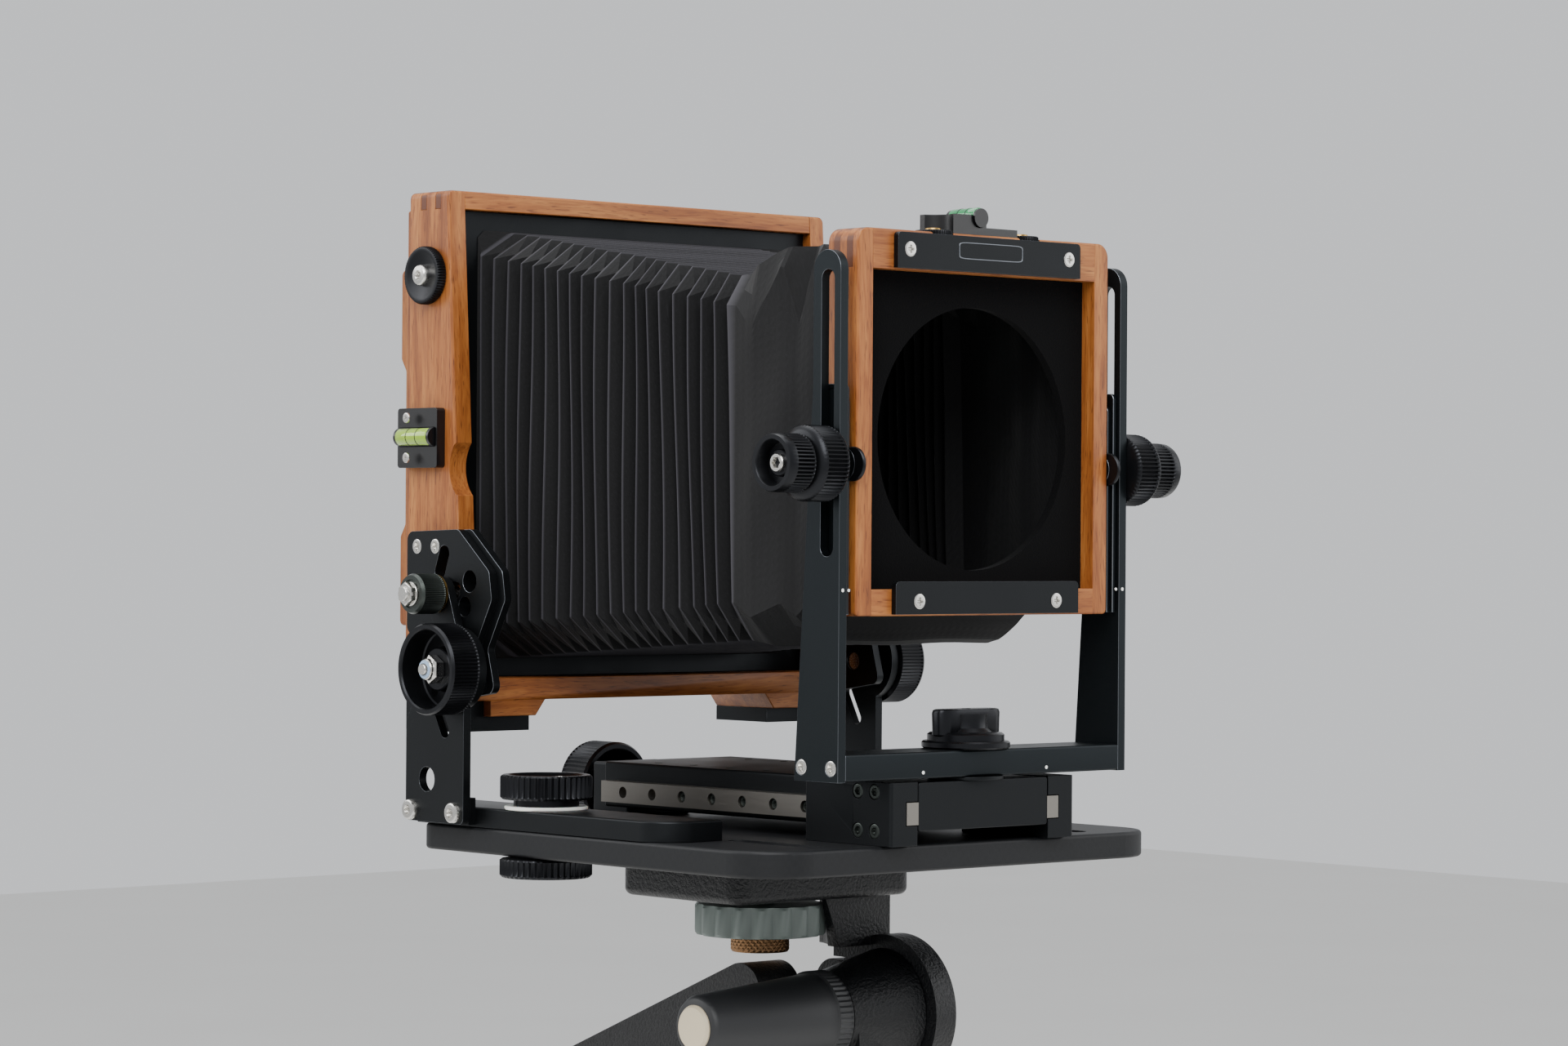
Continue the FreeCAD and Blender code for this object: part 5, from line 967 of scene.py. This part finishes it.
def tripod_pieces():
    """Ribbed rubber sleeves on the legs' clamp collars and feet, and the column's lobed knob.
    A leg runs from its hinge down and outwards."""
    spread = math.radians(24.0)         # a leg's lean from the upright
    crown, reach = np.array([0.0, 95.0, -160.0]), 40.0      # the hinges' middle, and their distance from it
    collar, foot = 398.5, 446.5         # where the sleeves start along a leg
    collar_rows = [(16.4, 0), (17.0, 0.5), (17.0, 1.4, 1), (17.0, 27.6, 1), (17.0, 28.5), (16.4, 29.0)]
    foot_rows = [(11.9, 0), (12.5, 0.6)]
    for k in range(4):
        foot_rows += [(12.5, 4.0 + 5.0 * k), (12.1, 4.6 + 5.0 * k), (12.1, 5.4 + 5.0 * k),
                      (12.5, 6.0 + 5.0 * k)]
    foot_rows += [(12.5, 24.4), (11.9, 25.0)]
    for name, heading in (("front", -90.0), ("right", 30.0), ("left", 150.0)):
        out = np.array([math.cos(math.radians(heading)), math.sin(math.radians(heading)), 0.0])
        way = math.sin(spread) * out - math.cos(spread) * Z
        hinge = crown + reach * out
        lathe(f"leg_sleeve_{name}", f"leg_{name}", RUBBER, at(*(hinge + way * collar)), way,
              collar_rows, 26, 0.5, 2.0, ring=True, slot="tube_black")
        lathe(f"foot_sleeve_{name}", f"foot_{name}", FOOT_RUBBER, at(*(hinge + way * foot)), way, foot_rows,
              ring=True, columns=48, slot="tube_black")
    low, high = span("column_knob")
    x, z, radius = (low[0] + high[0]) / 2, (low[2] + high[2]) / 2, (high[2] - low[2]) / 2
    foot = high[1] - 16.7
    rows = [(0, 0), (8.0, 0), (8.6, 2.5), (radius - 1.2, 4.0, 0.5), (radius, 5.2, 1), (radius, 14.6, 1),
            (radius - 1.0, 16.2, 0.6), (radius - 3.4, 16.7, 0.1), (0, 16.7)]
    lathe("column_knob_turned", "column_knob", RUBBER, at(x, foot, z), Y, rows, 8, 2.0, 1.4, slot="knob_black",
          replaces=["column_knob"])
    stud = foot + 1.0 - low[1]
    lathe("column_knob_stud", "column_knob", STEEL, at(x, low[1], z), Y,
          [(0, 0), (2.9, 0), (2.9, stud), (0, stud)], columns=32)


def finish_cad_nodes():
    """The CAD nodes that show as they are, with chamfers and finishes."""
    finishes = (        # nodes, finish, chamfer in mm, the chamfer's own finish, slot
        (("front_uprights", "front_crossbar", "rise_plates"), ANODISED_BLUE, 0.35, CHAMFER, "anodised_black"),
        (("board_plates", "rear_lower_plates", "rear_brackets"), ANODISED, 0.35, CHAMFER, "anodised_black"),
        (("guide_blocks", "focus_beam", "rear_base_bars", "bellows_plate"), ANODISED, 0.3, None,
         "anodised_black"),
        (("front_rails", "rear_rails"), CHERRY_ACROSS, 0.3, None, "cherry_wood"),
        (("front_stiles", "rear_stiles"), CHERRY_UPRIGHT, 0.3, None, "cherry_wood"),
        (("back_frame",), CHERRY_BACK, 0.8, None, "cherry_wood"),
        (("glass_frame",), CHERRY_GLASS, 0.5, None, "cherry_wood"),
        (("mounting_block",), CARBON, 0.5, None, "carbon_plate"),
        (("head_plate",), CAST, 0.6, WORN_CAST, "cast_black"),
        (("pan_base", "pan_handle", "tripod_crown"), CAST, 0.6, None, "cast_black"),
        (("back_springs",), SPRING, 0.15, None, "spring_steel"),
        ([f"leg_{name}_{part}" for name in ("front", "right", "left") for part in ("upper", "lower")],
         TUBE, 0.4, None, "tube_black"))
    for nodes, finish, bevel, edge, slot in finishes:
        for node in nodes:
            dressed(node, finish, bevel, edge)
    as_they_are = (("bed", CARBON), ("lens_board", FLOCK_AND_HOLE_SHADE), ("steel_rails", RAIL), ("ground_glass", SCREEN),
                   ("center_column", TUBE))
    for node, material in as_they_are:
        painted(node, material)


flat_screws()
front_knobs()
rear_knobs()
clamp_knobs()
focus_wheel_piece()
lock_wheels()
wing()
back_lock_piece()
bellows_pieces()
rail_screws()
beam_dots()
index_dots()
front_badge()
levels()
head_pieces()
tripod_pieces()
finish_cad_nodes()


# ---------------------------------------------------------------- floor, light and camera

def studio():
    """A pale floor with soft light from above and both sides."""
    floor = bpy.data.meshes.new("studio_floor")
    reach = 6.0
    floor.from_pydata([(-reach, -reach, 0), (reach, -reach, 0), (reach, reach, 0), (-reach, reach, 0)], [],
                      [(0, 1, 2, 3)])
    ground = bpy.data.objects.new("studio_floor", floor)
    bpy.context.scene.collection.objects.link(ground)
    pale, tree, shader, place = start("pale_paper", "#e6e5e2", 0.75)
    tone = add(tree, "TexNoise", {"Vector": place, "Scale": 3.0})
    add(tree, "Mix", {0: tone.outputs["Fac"], 6: linear("#e4e3e0"), 7: linear("#e9e8e5")},
        [(shader, "Base Color", 2)], data_type="RGBA")
    floor.materials.append(pale)
    world = bpy.data.worlds.new("soft_room")
    bpy.context.scene.world = world
    world.use_nodes = True
    world.node_tree.nodes["Background"].inputs["Color"].default_value = linear("#e9ebee")
    world.node_tree.nodes["Background"].inputs["Strength"].default_value = 0.95
    target = Vector(at(0, 80, 90))
    lamps = (("key", (-1.1, -1.0, 1.3), 1.4, 46.0), ("fill", (1.6, -1.1, 0.7), 1.6, 16.0),
             ("top", (0.0, 0.4, 1.8), 1.8, 30.0), ("rear", (-1.3, 1.4, 0.9), 1.2, 18.0))
    for name, place, size, power in lamps:
        lamp = bpy.data.lights.new("soft_" + name, "AREA")
        lamp.shape = "SQUARE"
        lamp.size = size
        lamp.energy = power
        lit = bpy.data.objects.new("soft_" + name, lamp)
        lit.location = target + Vector(place)
        lit.rotation_mode = "QUATERNION"
        lit.rotation_quaternion = (target - lit.location).to_track_quat("-Z", "Y")
        bpy.context.scene.collection.objects.link(lit)


def camera():
    """A long lens 1.3 m from the front frame's foot, level with the frame's middle and to its left."""
    azimuth, elevation, roll = (math.radians(v) for v in (-41.83, -0.18, 0.38))
    back = Vector((math.sin(azimuth) * math.cos(elevation), -math.cos(azimuth) * math.cos(elevation),
                   math.sin(elevation)))
    right = Vector((math.cos(azimuth), math.sin(azimuth), 0))
    up = back.cross(right)
    level = math.cos(roll) * right + math.sin(roll) * up
    lift = math.cos(roll) * up - math.sin(roll) * right
    eye = bpy.data.cameras.new("front_left_camera")
    eye.lens = 97.66
    eye.sensor_width = 36.0
    holder = bpy.data.objects.new("front_left_camera", eye)
    turn = Matrix((level, lift, back)).transposed().to_4x4()
    foot, stand = Vector((0, FRONT_LOW.y, FRONT_LOW.z)), Vector((-0.9358, -0.9511, 0.0243))
    holder.matrix_world = Matrix.Translation(foot + stand) @ turn
    bpy.context.scene.collection.objects.link(holder)
    bpy.context.scene.camera = holder


studio()
camera()
